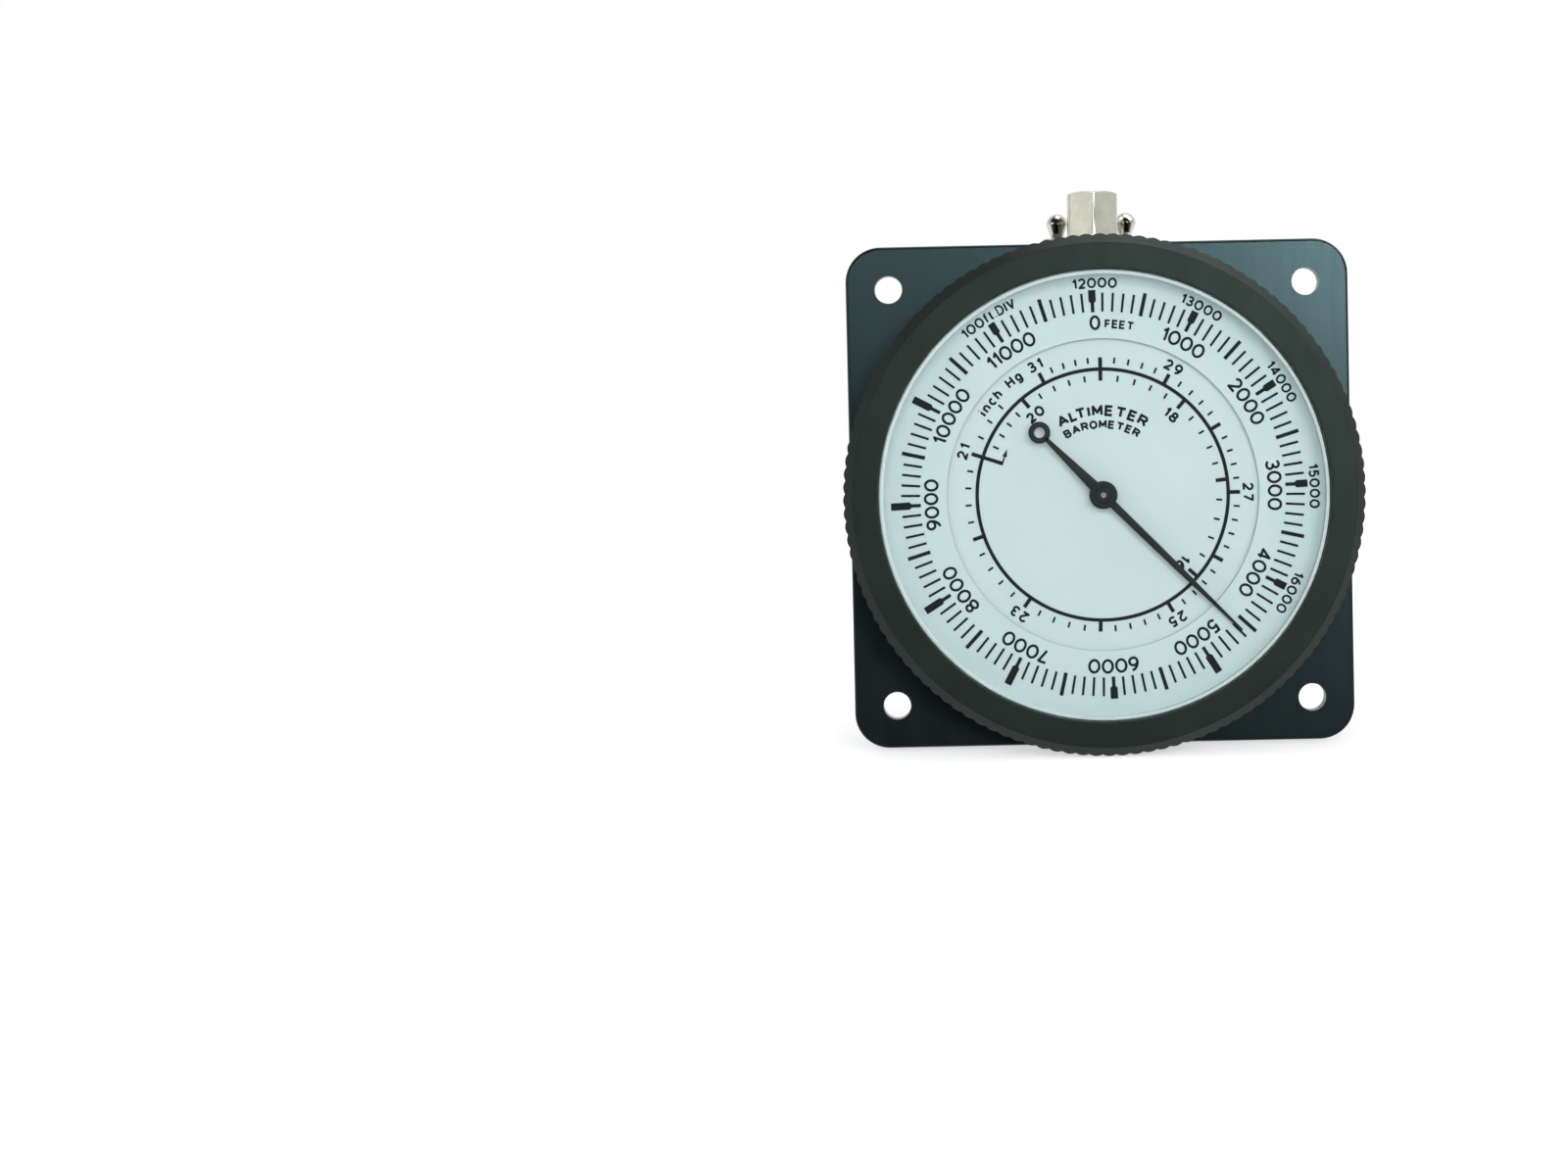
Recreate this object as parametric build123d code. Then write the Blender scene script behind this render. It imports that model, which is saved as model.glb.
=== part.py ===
from build123d import *
import math
import os

# A panel altimeter for an aircraft: one pointer on a fixed pressure scale, inside an altitude
# scale that turns with the coin-edged bezel. Millimetres. X is right and Z is up as seen from
# the front, and Y runs from the front to the rear. The origin is the centre of the four mounting
# holes, on the rear face of the front plate, and the dial axis is the Y axis. Angles on the dial
# are clock angles: degrees clockwise from the top, seen from the front.

# Front plate
plate_margin = 4.0
plate_thickness = 3.0
plate_corner_radius = 7.0
plate_edge_round = 0.6
hole_inset = 8.5
hole_diameter = 5.5

# Round case: a collar before the plate, a can behind it
can_radius = 46.0
can_wall = 3.0
collar_step = 0.2
collar_height = 4.9

# Bezel ring
bezel_wall = 4.2
bezel_depth = 12.6
bezel_plate_gap = 0.4
bezel_shoulder = 0.4
bezel_lip_overlap = 1.95
bezel_lip_thickness = 1.8
bezel_front_chamfer = 1.95
flute_count = 120
flute_depth = 0.5
flute_land_share = 0.1
retaining_wire = 1.2
retaining_wire_forward = 2.6
wire_clearance = 0.1
circlip_thickness = 0.6
circlip_bite = 0.75
circlip_width = 1.9
circlip_land = 0.3
circlip_gap = 5.0
turning_clearance = 0.4

# Glass and dials
gasket_thickness = 0.4
crystal_flange = 1.6
crystal_rise = 1.4
crystal_bevel = 0.7
crystal_lip_gap = 0.25
reflector_depth = 2.3
reflector_wall = 2.1
dial_thickness = 0.8
dial_seat = 1.0
dial_foot_radius = 0.8
dial_foot_offset = 22.0
dial_centre_gap = 0.6
altitude_ring_width = 15.0
ring_fit = 0.1

# Printed marks; a gap is from the reflector's bore inwards
ink = 0.08
altitude_ticks = 120
ticks_per_thousand = 10
tick_gap, tick_length, tick_width = 3.9, 3.7, 0.48
half_tick_gap, half_tick_length, half_tick_width = 3.5, 4.5, 0.88
stem_inner_gap, stem_width = 7.8, 0.95
block_inner_gap, block_width, block_taper = 5.6, 1.7, 0.7
block_gap_short, block_gap_long = 3.5, 2.0
long_thousands = (5, 6, 7, 8, 9, 10)
ring_setting = -2.1
scale_circle_radius, scale_circle_width = 24.7, 0.7
unit_tick_width = 0.75
unit_tick_reach = 2.3
small_tick_width = 0.4
small_tick_start, small_tick_end = 1.15, 2.35
small_ticks_per_inch = 5
first_inch = 31
changeover_inch = 21
inch_angles = (-26.5, 0, 30, 60, 90, 120, 150, 182, 216, 252, 288.5, 321, 360, 402, 444, 492)
overrun_ticks = 3
overrun_step = 7.8
changeover_reach = 4.2
arrow_stem_length, arrow_stem_width = 1.4, 0.3
arrow_head_length, arrow_head_width = 1.6, 0.9

# Pointer
pointer_bearing = 135.4
pointer_length = 38.0
pointer_thickness = 0.4
pointer_hub_radius = 2.75
pointer_root_width = 1.5
pointer_tip_width = 0.45
tail_ring_distance = 17.5
tail_ring_radius = 2.15
tail_ring_wall = 1.1
tail_root_width = 2.35
tail_end_width = 0.8
bush_radius = 1.4
bush_cap = 0.4
staff_end_radius = 0.55
staff_over_bush = 0.15
pointer_crystal_gap = 0.9

# Pressure port
port_back = 8.0
port_hex = 10.0
port_hex_height = 8.8
port_hex_chamfer = 0.6
port_hex_flat_loss = 0.9
port_bore = 4.2
port_thread_depth = 7.0
port_passage = 3.0
flange_radius = 5.9
flange_lobe_radius = 3.0
flange_thickness = 1.5
boss_over_plate = 0.7
flange_screw_offset = 7.0
flange_screw_set_back = 4.3
flange_screw_radius = 1.15
flange_screw_head = 2.25
flange_screw_cone = 2.9
flange_screw_dome = 2.2
flange_screw_stand = 0.1
flange_screw_length = 4.5
o_ring_radius = 3.6
o_ring_section = 1.0
o_ring_clearance = 0.05

# Rear cover
cover_thickness = 2.5
cover_gasket = 0.8
cover_edge = 0.8
cover_screw_inset = 2.6
cover_screw_angles = (45, 135, 225, 315)
cover_boss_radius = 2.9
cover_boss_length = 10.0
screw_hole_over = 1.0
cover_screw_radius = 1.25
cover_screw_length = 6.0
cover_head_radius = 2.3
cover_head_height = 1.8

# Movement frame
movement_clearance = 6.0
top_plate_gap = 1.4
top_plate_thickness = 1.2
top_slot_place, top_slot_length, top_slot_width = 24.0, 26.0, 9.0
side_window_x, side_window_z, side_window_radius = 20.0, -7.0, 6.0
base_plate_thickness = 1.5
base_slot_place, base_slot_length, base_slot_width = 20.0, 34.0, 14.0
lug_angles = (0, 100, 250)
lug_reach = 4.0
lug_width = 7.0
lug_depth = 5.0
lug_screw_inset = 2.1
plate_pillar_places = ((31, 12), (-31, 12), (-17.5, -30), (27, -22))
plate_pillar_radius = 2.0
movement_screw_radius = 0.8
movement_screw_length = 3.6
movement_screw_short = 0.4
movement_head_radius = 1.6
movement_head_height = 0.8
screw_fit = 0.05

# Gear train
gear_module = 0.4
pinion_teeth = 10
sector_full_teeth = 100
profile_shift = 0.4
pressure_angle = 20.0
flank_relief = 0.015
sector_first_tooth, sector_last_tooth = -6, 11
sector_thickness = 1.0
sector_rear = -2.0
sector_rim = 2.6
sector_hub = 3.2
sector_spoke = 1.6
spoke_taper, tail_taper = 1.3, 1.4
spoke_overlap = 0.8
spoke_inset_angle = 3.0
pinion_overhang = 0.2
arbor_radius = 0.9
pivot_radius = 0.45
pivot_fit = 0.03
jewel_radius = 1.6
jewel_shoulder_gap = 0.15
bridge_front = 2.5
bridge_thickness = 1.2
bridge_width = 7.0
bridge_pillar_above = 13.0
bridge_pillar_below = 9.0
bridge_pillar_radius = 1.8
rest_swing = 9.775

# Tail pin and rocking shaft
tail_length = 10.0
tail_width = 2.2
tail_pin_radius = 0.4
tail_pin_reach = 3.0
tail_pin_gap = 0.2
shaft_back = 12.0
shaft_radius = 0.8
shaft_left, shaft_right = -16.0, 14.0
rocker_post_radius = 2.0
rocker_post_over = 2.5
long_arm_width = 3.0
long_arm_overlap = 0.3
long_arm_thickness = 0.5
long_arm_start = 1.0
long_arm_side_shift = 0.3
arm_boss_radius = 1.7
short_arm_length = 4.5
short_arm_left, short_arm_right = 2.2, 3.2
strip_start, strip_length, strip_thickness = 1.43, 3.4, 1.5
short_arm_eye = 0.9
pin_over_link = 0.5
link_pin_radius = 0.5
weight_place = 8.0
weight_drop = 5.0
weight_radius = 2.0
weight_width = 2.6
weight_stem = 1.4

# Capsules, link and anchor
stack_across = 4.0
stack_behind_shaft = 8.4
capsule_radius = 19.0
capsule_rim = 0.8
capsule_thickness = 3.9
capsule_boss = 3.5
capsule_boss_rise = 1.0
capsule_seam, capsule_seam_margin = 1.0, 1.2
corrugation_count = 4
corrugation_height = 0.35
anchor_gap = 0.8
stud_radius = 1.5
nut_flats = 5.5
nut_height = 2.0
stud_over_nut = 0.3
cover_clearance = 0.2
link_length = 5.0
link_thickness = 1.0
link_width = 2.4
link_waist = 1.68
link_eye_length = 4.0
link_slot_length, link_slot_half = 2.4, 0.6
clevis_gap = 0.2
clevis_floor_gap = 0.4
clevis_cheek = 0.8
clevis_width = 3.0

# Hairspring
hairspring_front = 0.2
hairspring_height = 0.8
hairspring_strip = 0.14
hairspring_pitch = 0.7
hairspring_turns = 4.5
collet_radius = 1.8
collet_over = 0.1
spring_stud_radius = 0.6

# Radii worked out from the can's
plate_size = 2 * (can_radius + plate_margin)
case_bore = can_radius - can_wall
collar_radius = can_radius + collar_step
bezel_wide_bore = collar_radius + turning_clearance
bezel_tip_radius = bezel_wide_bore + bezel_wall
bezel_bore_radius = collar_radius - bezel_shoulder
bezel_lip_radius = bezel_bore_radius - bezel_lip_overlap
crystal_bevel_radius = bezel_lip_radius - crystal_lip_gap
stack_radius = bezel_bore_radius - ring_fit
reflector_bore = stack_radius - reflector_wall
altitude_ring_bore = stack_radius - altitude_ring_width
tick_outer = reflector_bore - tick_gap
tick_inner = tick_outer - tick_length
half_tick_outer = reflector_bore - half_tick_gap
half_tick_inner = half_tick_outer - half_tick_length
stem_inner = reflector_bore - stem_inner_gap
block_inner = reflector_bore - block_inner_gap
block_outer_short = reflector_bore - block_gap_short
block_outer_long = reflector_bore - block_gap_long
dial_radius = case_bore + dial_seat
movement_radius = case_bore - movement_clearance
lug_inner = movement_radius - lug_reach
movement_screw_circle = movement_radius - lug_screw_inset
cover_screw_circle = case_bore - cover_screw_inset

# Depths worked out along the dial axis, from the front
FROM_BOTTOM = (Align.CENTER, Align.CENTER, Align.MIN)
beyond = 1.0
plate_front = -plate_thickness
collar_front = plate_front - collar_height
bezel_rear = plate_front - bezel_plate_gap
bezel_front = bezel_rear - bezel_depth
lip_rear = bezel_front + bezel_lip_thickness
crystal_front = lip_rear + gasket_thickness
crystal_rear = crystal_front + crystal_flange
ring_front = crystal_rear + reflector_depth
ring_rear = ring_front + dial_thickness
dial_rear = collar_front
dial_front = dial_rear - dial_thickness
top_plate_front = dial_rear + top_plate_gap
top_plate_rear = top_plate_front + top_plate_thickness
capsule_front = shaft_back + stack_behind_shaft
capsule_middle = capsule_front + capsule_thickness
capsule_rear = capsule_middle + capsule_thickness
base_plate_front = capsule_rear + anchor_gap
base_plate_rear = base_plate_front + base_plate_thickness
stud_rear = base_plate_rear + nut_height + stud_over_nut
can_length = stud_rear + cover_clearance - cover_gasket
bridge_rear = bridge_front + bridge_thickness
pointer_front = crystal_rear + pointer_crystal_gap
pointer_rear = pointer_front + pointer_thickness
staff_front = pointer_front - bush_cap - staff_over_bush
sector_front = sector_rear - sector_thickness
cover_front = can_length + cover_gasket
cover_rear = cover_front + cover_thickness
wire_back = plate_front - retaining_wire_forward
wire_ring_radius = collar_radius + turning_clearance / 2
boss_height = plate_size / 2 + boss_over_plate
flange_top = boss_height + flange_thickness
flange_screw_back = port_back + flange_screw_set_back

# Places of the gear train, seen from the front
centre_distance = gear_module * (pinion_teeth + sector_full_teeth) / 2
sector_x, sector_z = 0.0, -centre_distance
stack_z = sector_z + short_arm_length
pivot_rest_shift = short_arm_length * math.radians(rest_swing)
clevis_back = shaft_back + link_length + pivot_rest_shift


def clock(radius, degrees):
    """Point (x, z) at a clock angle on a circle about the dial axis."""
    angle = math.radians(degrees)
    return radius * math.sin(angle), radius * math.cos(angle)


def turned(*points):
    """Solid turned about the dial axis from its (radius, y) outline."""
    return revolve(make_face(Polyline(*points, close=True)), Axis.Y)


def rod(x, z, front, rear, radius):
    """Round bar along Y."""
    return Pos(x, front, z) * Rot(-90, 0, 0) * Cylinder(radius, rear - front, align=FROM_BOTTOM)


def tube(x, z, front, rear, outer, inner):
    """Round tube along Y."""
    return rod(x, z, front, rear, outer) - rod(x, z, front - beyond, rear + beyond, inner)


def cross_rod(left, right, y, z, radius):
    """Round bar along X."""
    return Pos(left, y, z) * Rot(0, 90, 0) * Cylinder(radius, right - left, align=FROM_BOTTOM)


def upright(x, y, bottom, top, radius):
    """Round bar along Z."""
    return Pos(x, y, bottom) * Cylinder(radius, top - bottom, align=FROM_BOTTOM)


def sheet(outline, front, rear):
    """Flat piece from its outline seen from the front."""
    rear_plane = Plane((0, rear, 0), x_dir=(1, 0, 0), z_dir=(0, -1, 0))
    return extrude(rear_plane * outline, amount=rear - front)


def side_sheet(outline, left, right):
    """Flat piece from its outline in (y, z), across X."""
    left_plane = Plane((left, 0, 0), x_dir=(0, 1, 0), z_dir=(1, 0, 0))
    return extrude(left_plane * outline, amount=right - left)


def group(pieces):
    """One node made of separate solids."""
    return Compound([solid for piece in pieces for solid in piece.solids()])


def rocked(shape):
    """Piece of the rocking shaft, drawn at mid-swing, at its rest position."""
    pivot = Pos(0, shaft_back, sector_z)
    return pivot * Rot(-rest_swing, 0, 0) * pivot.inverse() * shape


def slotted_screw(x, z, seat, way, shank, length, head, height):
    """Cheese-head screw along Y; way is 1 where it points to the rear, -1 where to the front."""
    slot_depth = height / 2
    slot_width = head * 0.3
    top = seat - way * height
    tip = seat + way * length
    screw = rod(x, z, min(seat, top), max(seat, top), head)
    screw += rod(x, z, min(seat, tip), max(seat, tip), shank)
    slot = Pos(x, top, z) * Box(2.2 * head, 2 * slot_depth, slot_width)
    return screw - slot


# Case


def flange_outline():
    """Outline of the port's flange from above: a bar with round ends for the screws, and a round middle."""
    length = 2 * (flange_screw_offset + flange_lobe_radius)
    bar = Pos(0, flange_screw_back) * SlotOverall(length, 2 * flange_lobe_radius)
    return bar + Pos(0, port_back) * Circle(flange_radius)


def pad_on_wall(angle, inner, rear, depth, width):
    """Block from the middle of the can's wall inwards, at a clock angle."""
    outer = can_radius - can_wall / 2
    block = Pos(0, rear - depth / 2, (inner + outer) / 2) * Box(width, depth, outer - inner)
    return Rot(0, angle, 0) * block


def case_body():
    plate = sheet(RectangleRounded(plate_size, plate_size, plate_corner_radius), plate_front, 0)
    plate = fillet(plate.faces().sort_by(Axis.Y)[0].edges(), plate_edge_round)
    boss = extrude(flange_outline(), amount=boss_height)
    body = plate + rod(0, 0, collar_front, 0, collar_radius) + rod(0, 0, 0, can_length, can_radius)
    body += boss
    body -= rod(0, 0, collar_front - beyond, can_length + beyond, case_bore)
    for angle in cover_screw_angles:
        body += pad_on_wall(angle, cover_screw_circle, can_length, cover_boss_length, 2 * cover_boss_radius)
        x, z = clock(cover_screw_circle, angle)
        body += rod(x, z, can_length - cover_boss_length, can_length, cover_boss_radius)
        hole_end = can_length - cover_screw_length - screw_hole_over
        body -= rod(x, z, hole_end, can_length + beyond, cover_screw_radius + screw_fit)
    for angle in lug_angles:
        body += pad_on_wall(angle, lug_inner, base_plate_front, lug_depth, lug_width)
        x, z = clock(movement_screw_circle, angle)
        hole_end = base_plate_front - lug_depth - beyond
        body -= rod(x, z, hole_end, base_plate_front + beyond, movement_screw_radius + screw_fit)
    half = plate_size / 2 - hole_inset
    for x in (-half, half):
        for z in (-half, half):
            body -= rod(x, z, plate_front - beyond, beyond, hole_diameter / 2)
    groove = Pos(wire_ring_radius, wire_back, 0) * Circle((retaining_wire + wire_clearance) / 2)
    body -= revolve(groove, Axis.Y)
    body -= upright(0, port_back, 0, boss_height + beyond, port_passage / 2)
    groove_half = o_ring_section / 2 + o_ring_clearance
    o_ring_groove = upright(0, port_back, boss_height - o_ring_section, boss_height, o_ring_radius + groove_half)
    o_ring_groove -= upright(0, port_back, 0, boss_height, o_ring_radius - groove_half)
    body -= o_ring_groove
    for x in (-flange_screw_offset, flange_screw_offset):
        screw_end = flange_top - flange_screw_length - flange_thickness
        body -= upright(x, flange_screw_back, screw_end, boss_height, flange_screw_radius + screw_fit)
    return body


def port_fitting():
    hexagon = Pos(0, port_back, flange_top) * extrude(
        Rot(0, 0, 30) * RegularPolygon(port_hex / 2, 6, major_radius=False), amount=port_hex_height
    )
    corner = port_hex / math.sqrt(3)
    top = flange_top + port_hex_height
    slope = port_hex_flat_loss / port_hex_chamfer
    cone = Pos(0, port_back, flange_top) * Cone(
        corner - port_hex_flat_loss + slope * port_hex_height,
        corner - port_hex_flat_loss,
        port_hex_height,
        align=FROM_BOTTOM,
    )
    flange = Pos(0, 0, boss_height) * extrude(flange_outline(), amount=flange_thickness)
    fitting = (hexagon & cone) + flange
    fitting -= upright(0, port_back, top - port_thread_depth, top + beyond, port_bore / 2)
    fitting -= upright(0, port_back, boss_height - beyond, top, port_passage / 2)
    for x in (-flange_screw_offset, flange_screw_offset):
        fitting -= upright(x, flange_screw_back, boss_height - beyond, top, flange_screw_radius + screw_fit)
    return fitting


def port_screws():
    """Raised countersunk screws that stand proud of the flange."""
    seat = flange_top + flange_screw_stand
    rim = seat + flange_screw_cone
    tip = flange_top - flange_thickness - flange_screw_length + screw_hole_over
    screws = []
    for x in (-flange_screw_offset, flange_screw_offset):
        profile = make_face(
            [
                Polyline(
                    (0, rim + flange_screw_dome),
                    (0, tip),
                    (flange_screw_radius, tip),
                    (flange_screw_radius, seat),
                    (flange_screw_head, rim),
                ),
                TangentArc((0, rim + flange_screw_dome), (flange_screw_head, rim), tangent=(1, 0)),
            ]
        )
        screws.append(Pos(x, flange_screw_back, 0) * revolve(Plane.XZ * profile, Axis.Z))
    return group(screws)


def port_o_ring():
    centre = boss_height - o_ring_section / 2
    return Pos(0, port_back, centre) * Torus(o_ring_radius, o_ring_section / 2)


def cover_disc(front, rear, inner):
    """Round plate with the holes of the rear cover's screws."""
    disc = rod(0, 0, front, rear, can_radius)
    if inner:
        disc -= rod(0, 0, front - beyond, rear + beyond, inner)
    for angle in cover_screw_angles:
        x, z = clock(cover_screw_circle, angle)
        disc -= rod(x, z, front - beyond, rear + beyond, cover_screw_radius + screw_fit)
    return disc


def rear_cover():
    cover = cover_disc(cover_front, cover_rear, 0)
    return chamfer(cover.faces().sort_by(Axis.Y)[-1].outer_wire().edges(), cover_edge)


def cover_screws():
    screws = []
    for angle in cover_screw_angles:
        x, z = clock(cover_screw_circle, angle)
        length = cover_thickness + cover_gasket + cover_screw_length
        screws.append(
            slotted_screw(x, z, cover_rear, -1, cover_screw_radius, length, cover_head_radius, cover_head_height)
        )
    return group(screws)


# Bezel and what turns with it


def coin_edge():
    """Outline of the bezel: fluted grooves with narrow lands between them."""
    pitch = 360 / flute_count
    half = pitch * (1 - flute_land_share) / 2
    edges = []
    for i in range(flute_count):
        start = clock(bezel_tip_radius, i * pitch - half)
        valley = clock(bezel_tip_radius - flute_depth, i * pitch)
        end = clock(bezel_tip_radius, i * pitch + half)
        following = clock(bezel_tip_radius, (i + 1) * pitch - half)
        edges.append(ThreePointArc(start, valley, end))
        edges.append(Line(end, following))
    return make_face(edges)


def circlip_groove_rear():
    return ring_rear + circlip_thickness + wire_clearance / 2


def bezel_ring():
    shoulder = circlip_groove_rear() + circlip_land
    flat_radius = bezel_tip_radius - bezel_front_chamfer
    envelope = turned(
        (bezel_lip_radius, bezel_front),
        (flat_radius, bezel_front),
        (bezel_tip_radius + beyond, bezel_front + bezel_front_chamfer + beyond),
        (bezel_tip_radius + beyond, bezel_rear),
        (bezel_wide_bore, bezel_rear),
        (bezel_wide_bore, shoulder),
        (bezel_bore_radius, shoulder),
        (bezel_bore_radius, circlip_groove_rear()),
        (bezel_bore_radius + circlip_bite, circlip_groove_rear()),
        (bezel_bore_radius + circlip_bite, ring_rear),
        (bezel_bore_radius, ring_rear),
        (bezel_bore_radius, lip_rear),
        (bezel_lip_radius, lip_rear),
    )
    groove = Pos(wire_ring_radius, wire_back, 0) * Circle(retaining_wire / 2 + wire_clearance)
    return (sheet(coin_edge(), bezel_front, bezel_rear) & envelope) - revolve(groove, Axis.Y)


def bezel_retaining_ring():
    return revolve(Pos(wire_ring_radius, wire_back, 0) * Circle(retaining_wire / 2), Axis.Y)


def crystal():
    top = crystal_front - crystal_rise
    return turned(
        (0, top),
        (crystal_bevel_radius - crystal_bevel, top),
        (crystal_bevel_radius, top + crystal_bevel),
        (crystal_bevel_radius, crystal_front),
        (stack_radius, crystal_front),
        (stack_radius, crystal_rear),
        (0, crystal_rear),
    )


def crystal_gasket():
    return tube(0, 0, lip_rear, crystal_front, stack_radius, bezel_lip_radius)


def reflector_ring():
    return tube(0, 0, crystal_rear, ring_front, stack_radius, reflector_bore)


def altitude_ring():
    return tube(0, 0, ring_front, ring_rear, stack_radius, altitude_ring_bore)


def ring_circlip():
    outer = bezel_bore_radius + circlip_bite - screw_fit
    clip = tube(0, 0, ring_rear, ring_rear + circlip_thickness, outer, outer - circlip_width)
    gap = Pos(0, ring_rear, -outer) * Box(circlip_gap, 4 * circlip_thickness, 3 * circlip_width)
    return clip - gap


def radial_mark(angle, inner, outer, width, front):
    """Bar of ink that points at the dial axis."""
    middle = (inner + outer) / 2
    return Rot(0, angle, 0) * Pos(0, front - ink / 2, middle) * Box(width, ink, outer - inner)


def shaped_mark(angle, front, *points):
    """Ink with an outline of (across, out) points, where across runs clockwise."""
    outline = make_face(Polyline(*points, close=True))
    return Rot(0, angle, 0) * sheet(outline, front - ink, front)


def thousand_mark(angle, outer):
    """Broad block that narrows to a stem at its inner end."""
    stem, block = stem_width / 2, block_width / 2
    shoulder = block_inner - block_taper
    return shaped_mark(
        angle,
        ring_front,
        (-stem, stem_inner),
        (-stem, shoulder),
        (-block, block_inner),
        (-block, outer),
        (block, outer),
        (block, block_inner),
        (stem, shoulder),
        (stem, stem_inner),
    )


def altitude_marks():
    pitch = 360 / altitude_ticks
    marks = []
    for i in range(altitude_ticks):
        angle = i * pitch + ring_setting
        if i % ticks_per_thousand == 0:
            long_mark = i // ticks_per_thousand in long_thousands
            marks.append(thousand_mark(angle, block_outer_long if long_mark else block_outer_short))
        elif i % (ticks_per_thousand // 2) == 0:
            marks.append(radial_mark(angle, half_tick_inner, half_tick_outer, half_tick_width, ring_front))
        else:
            marks.append(radial_mark(angle, tick_inner, tick_outer, tick_width, ring_front))
    return group(marks)


# Dial and pointer


def pressure_dial():
    dial = tube(0, 0, dial_front, dial_rear, dial_radius, bush_radius + dial_centre_gap)
    for x in (-dial_foot_offset, dial_foot_offset):
        dial += rod(x, 0, dial_rear, top_plate_rear, dial_foot_radius)
    return dial


def inch_angle(inches):
    """Clock angle of a pressure, between the angles of the whole inches of mercury."""
    place = first_inch - inches
    low = min(int(place), len(inch_angles) - 2)
    return inch_angles[low] + (place - low) * (inch_angles[low + 1] - inch_angles[low])


def small_tick(angle, outside):
    start, end = scale_circle_radius + small_tick_start, scale_circle_radius + small_tick_end
    if not outside:
        start, end = scale_circle_radius - small_tick_end, scale_circle_radius - small_tick_start
    return radial_mark(angle, start, end, small_tick_width, dial_front)


def changeover_arrow():
    """Thin arrow that leads from the changeover tick's inner end towards the inner scale."""
    radius = scale_circle_radius - changeover_reach
    neck = arrow_stem_length
    return shaped_mark(
        inch_angle(changeover_inch),
        dial_front,
        (0, radius),
        (0, radius + arrow_stem_width),
        (neck, radius + arrow_stem_width),
        (neck, radius + arrow_head_width / 2 + arrow_stem_width / 2),
        (neck + arrow_head_length, radius + arrow_stem_width / 2),
        (neck, radius + arrow_stem_width / 2 - arrow_head_width / 2),
        (neck, radius),
    )


def pressure_marks():
    """The scale's circle with a tick at each whole inch, and short loose ticks between them."""
    half = scale_circle_width / 2
    inner, outer = scale_circle_radius - half, scale_circle_radius + half
    scale = tube(0, 0, dial_front - ink, dial_front, outer, inner)
    loose = []
    for step in range(small_ticks_per_inch * (len(inch_angles) - 1) + 1):
        inches = first_inch - step / small_ticks_per_inch
        angle = inch_angle(inches)
        outside = inches >= changeover_inch
        if step % small_ticks_per_inch:
            loose.append(small_tick(angle, outside))
        elif outside:
            scale += radial_mark(angle, inner, outer + unit_tick_reach - half, unit_tick_width, dial_front)
        else:
            scale += radial_mark(angle, inner - unit_tick_reach + half, outer, unit_tick_width, dial_front)
    for i in range(1, overrun_ticks + 1):
        loose.append(small_tick(inch_angle(changeover_inch) + i * overrun_step, True))
    change_angle = inch_angle(changeover_inch)
    scale += radial_mark(change_angle, scale_circle_radius - changeover_reach, outer, unit_tick_width, dial_front)
    scale += changeover_arrow()
    return group([scale] + loose)


def tapered_arm(start, end, start_width, end_width):
    """Outline of an arm along the upward direction."""
    return make_face(
        Polyline(
            (-start_width / 2, start),
            (-end_width / 2, end),
            (end_width / 2, end),
            (start_width / 2, start),
            close=True,
        )
    )


def pointer():
    blade = Circle(pointer_hub_radius)
    blade += tapered_arm(0, pointer_length, pointer_root_width, pointer_tip_width)
    tail_end = tail_ring_distance - tail_ring_radius + tail_ring_wall / 2
    tail = tapered_arm(0, tail_end, tail_root_width, tail_end_width)
    blade += Rot(0, 0, 180) * tail
    blade += Pos(0, -tail_ring_distance) * Circle(tail_ring_radius)
    blade -= Pos(0, -tail_ring_distance) * Circle(tail_ring_radius - tail_ring_wall)
    blade -= Circle(bush_radius)
    return Rot(0, pointer_bearing, 0) * sheet(blade, pointer_front, pointer_rear)


def pointer_bush():
    """Bush that carries the pointer: a shoulder behind the blade and a riveted cap before it."""
    return turned(
        (staff_end_radius, pointer_front - bush_cap),
        (bush_radius, pointer_front - bush_cap),
        (bush_radius + bush_cap, pointer_front),
        (bush_radius, pointer_front),
        (bush_radius, dial_front),
        (staff_end_radius, dial_front),
    )


# Movement frame


def jewel_places():
    """Jewel holes: (x, z, plate front, plate rear)."""
    return (
        (0, 0, top_plate_front, top_plate_rear),
        (sector_x, sector_z, top_plate_front, top_plate_rear),
        (0, 0, bridge_front, bridge_rear),
        (sector_x, sector_z, bridge_front, bridge_rear),
    )


def bridge_pillar_places():
    return ((0, bridge_pillar_above), (0, sector_z - bridge_pillar_below))


def rocker_post_places():
    return (shaft_left, sector_z), (shaft_right, sector_z)


def top_plate():
    plate = rod(0, 0, top_plate_front, top_plate_rear, movement_radius)
    window = Pos(0, top_slot_place) * SlotOverall(top_slot_length, top_slot_width)
    for x in (-side_window_x, side_window_x):
        window += Pos(x, side_window_z) * Circle(side_window_radius)
    plate -= sheet(window, top_plate_front, top_plate_rear)
    for x, z, front, rear in jewel_places()[:2]:
        plate -= rod(x, z, front - beyond, rear + beyond, jewel_radius)
    for x in (-dial_foot_offset, dial_foot_offset):
        plate -= rod(x, 0, top_plate_front - beyond, top_plate_rear + beyond, dial_foot_radius + screw_fit)
    for x, z in plate_pillar_places + bridge_pillar_places() + rocker_post_places():
        plate -= rod(x, z, top_plate_front - beyond, top_plate_rear + beyond, movement_screw_radius + screw_fit)
    return plate


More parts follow.
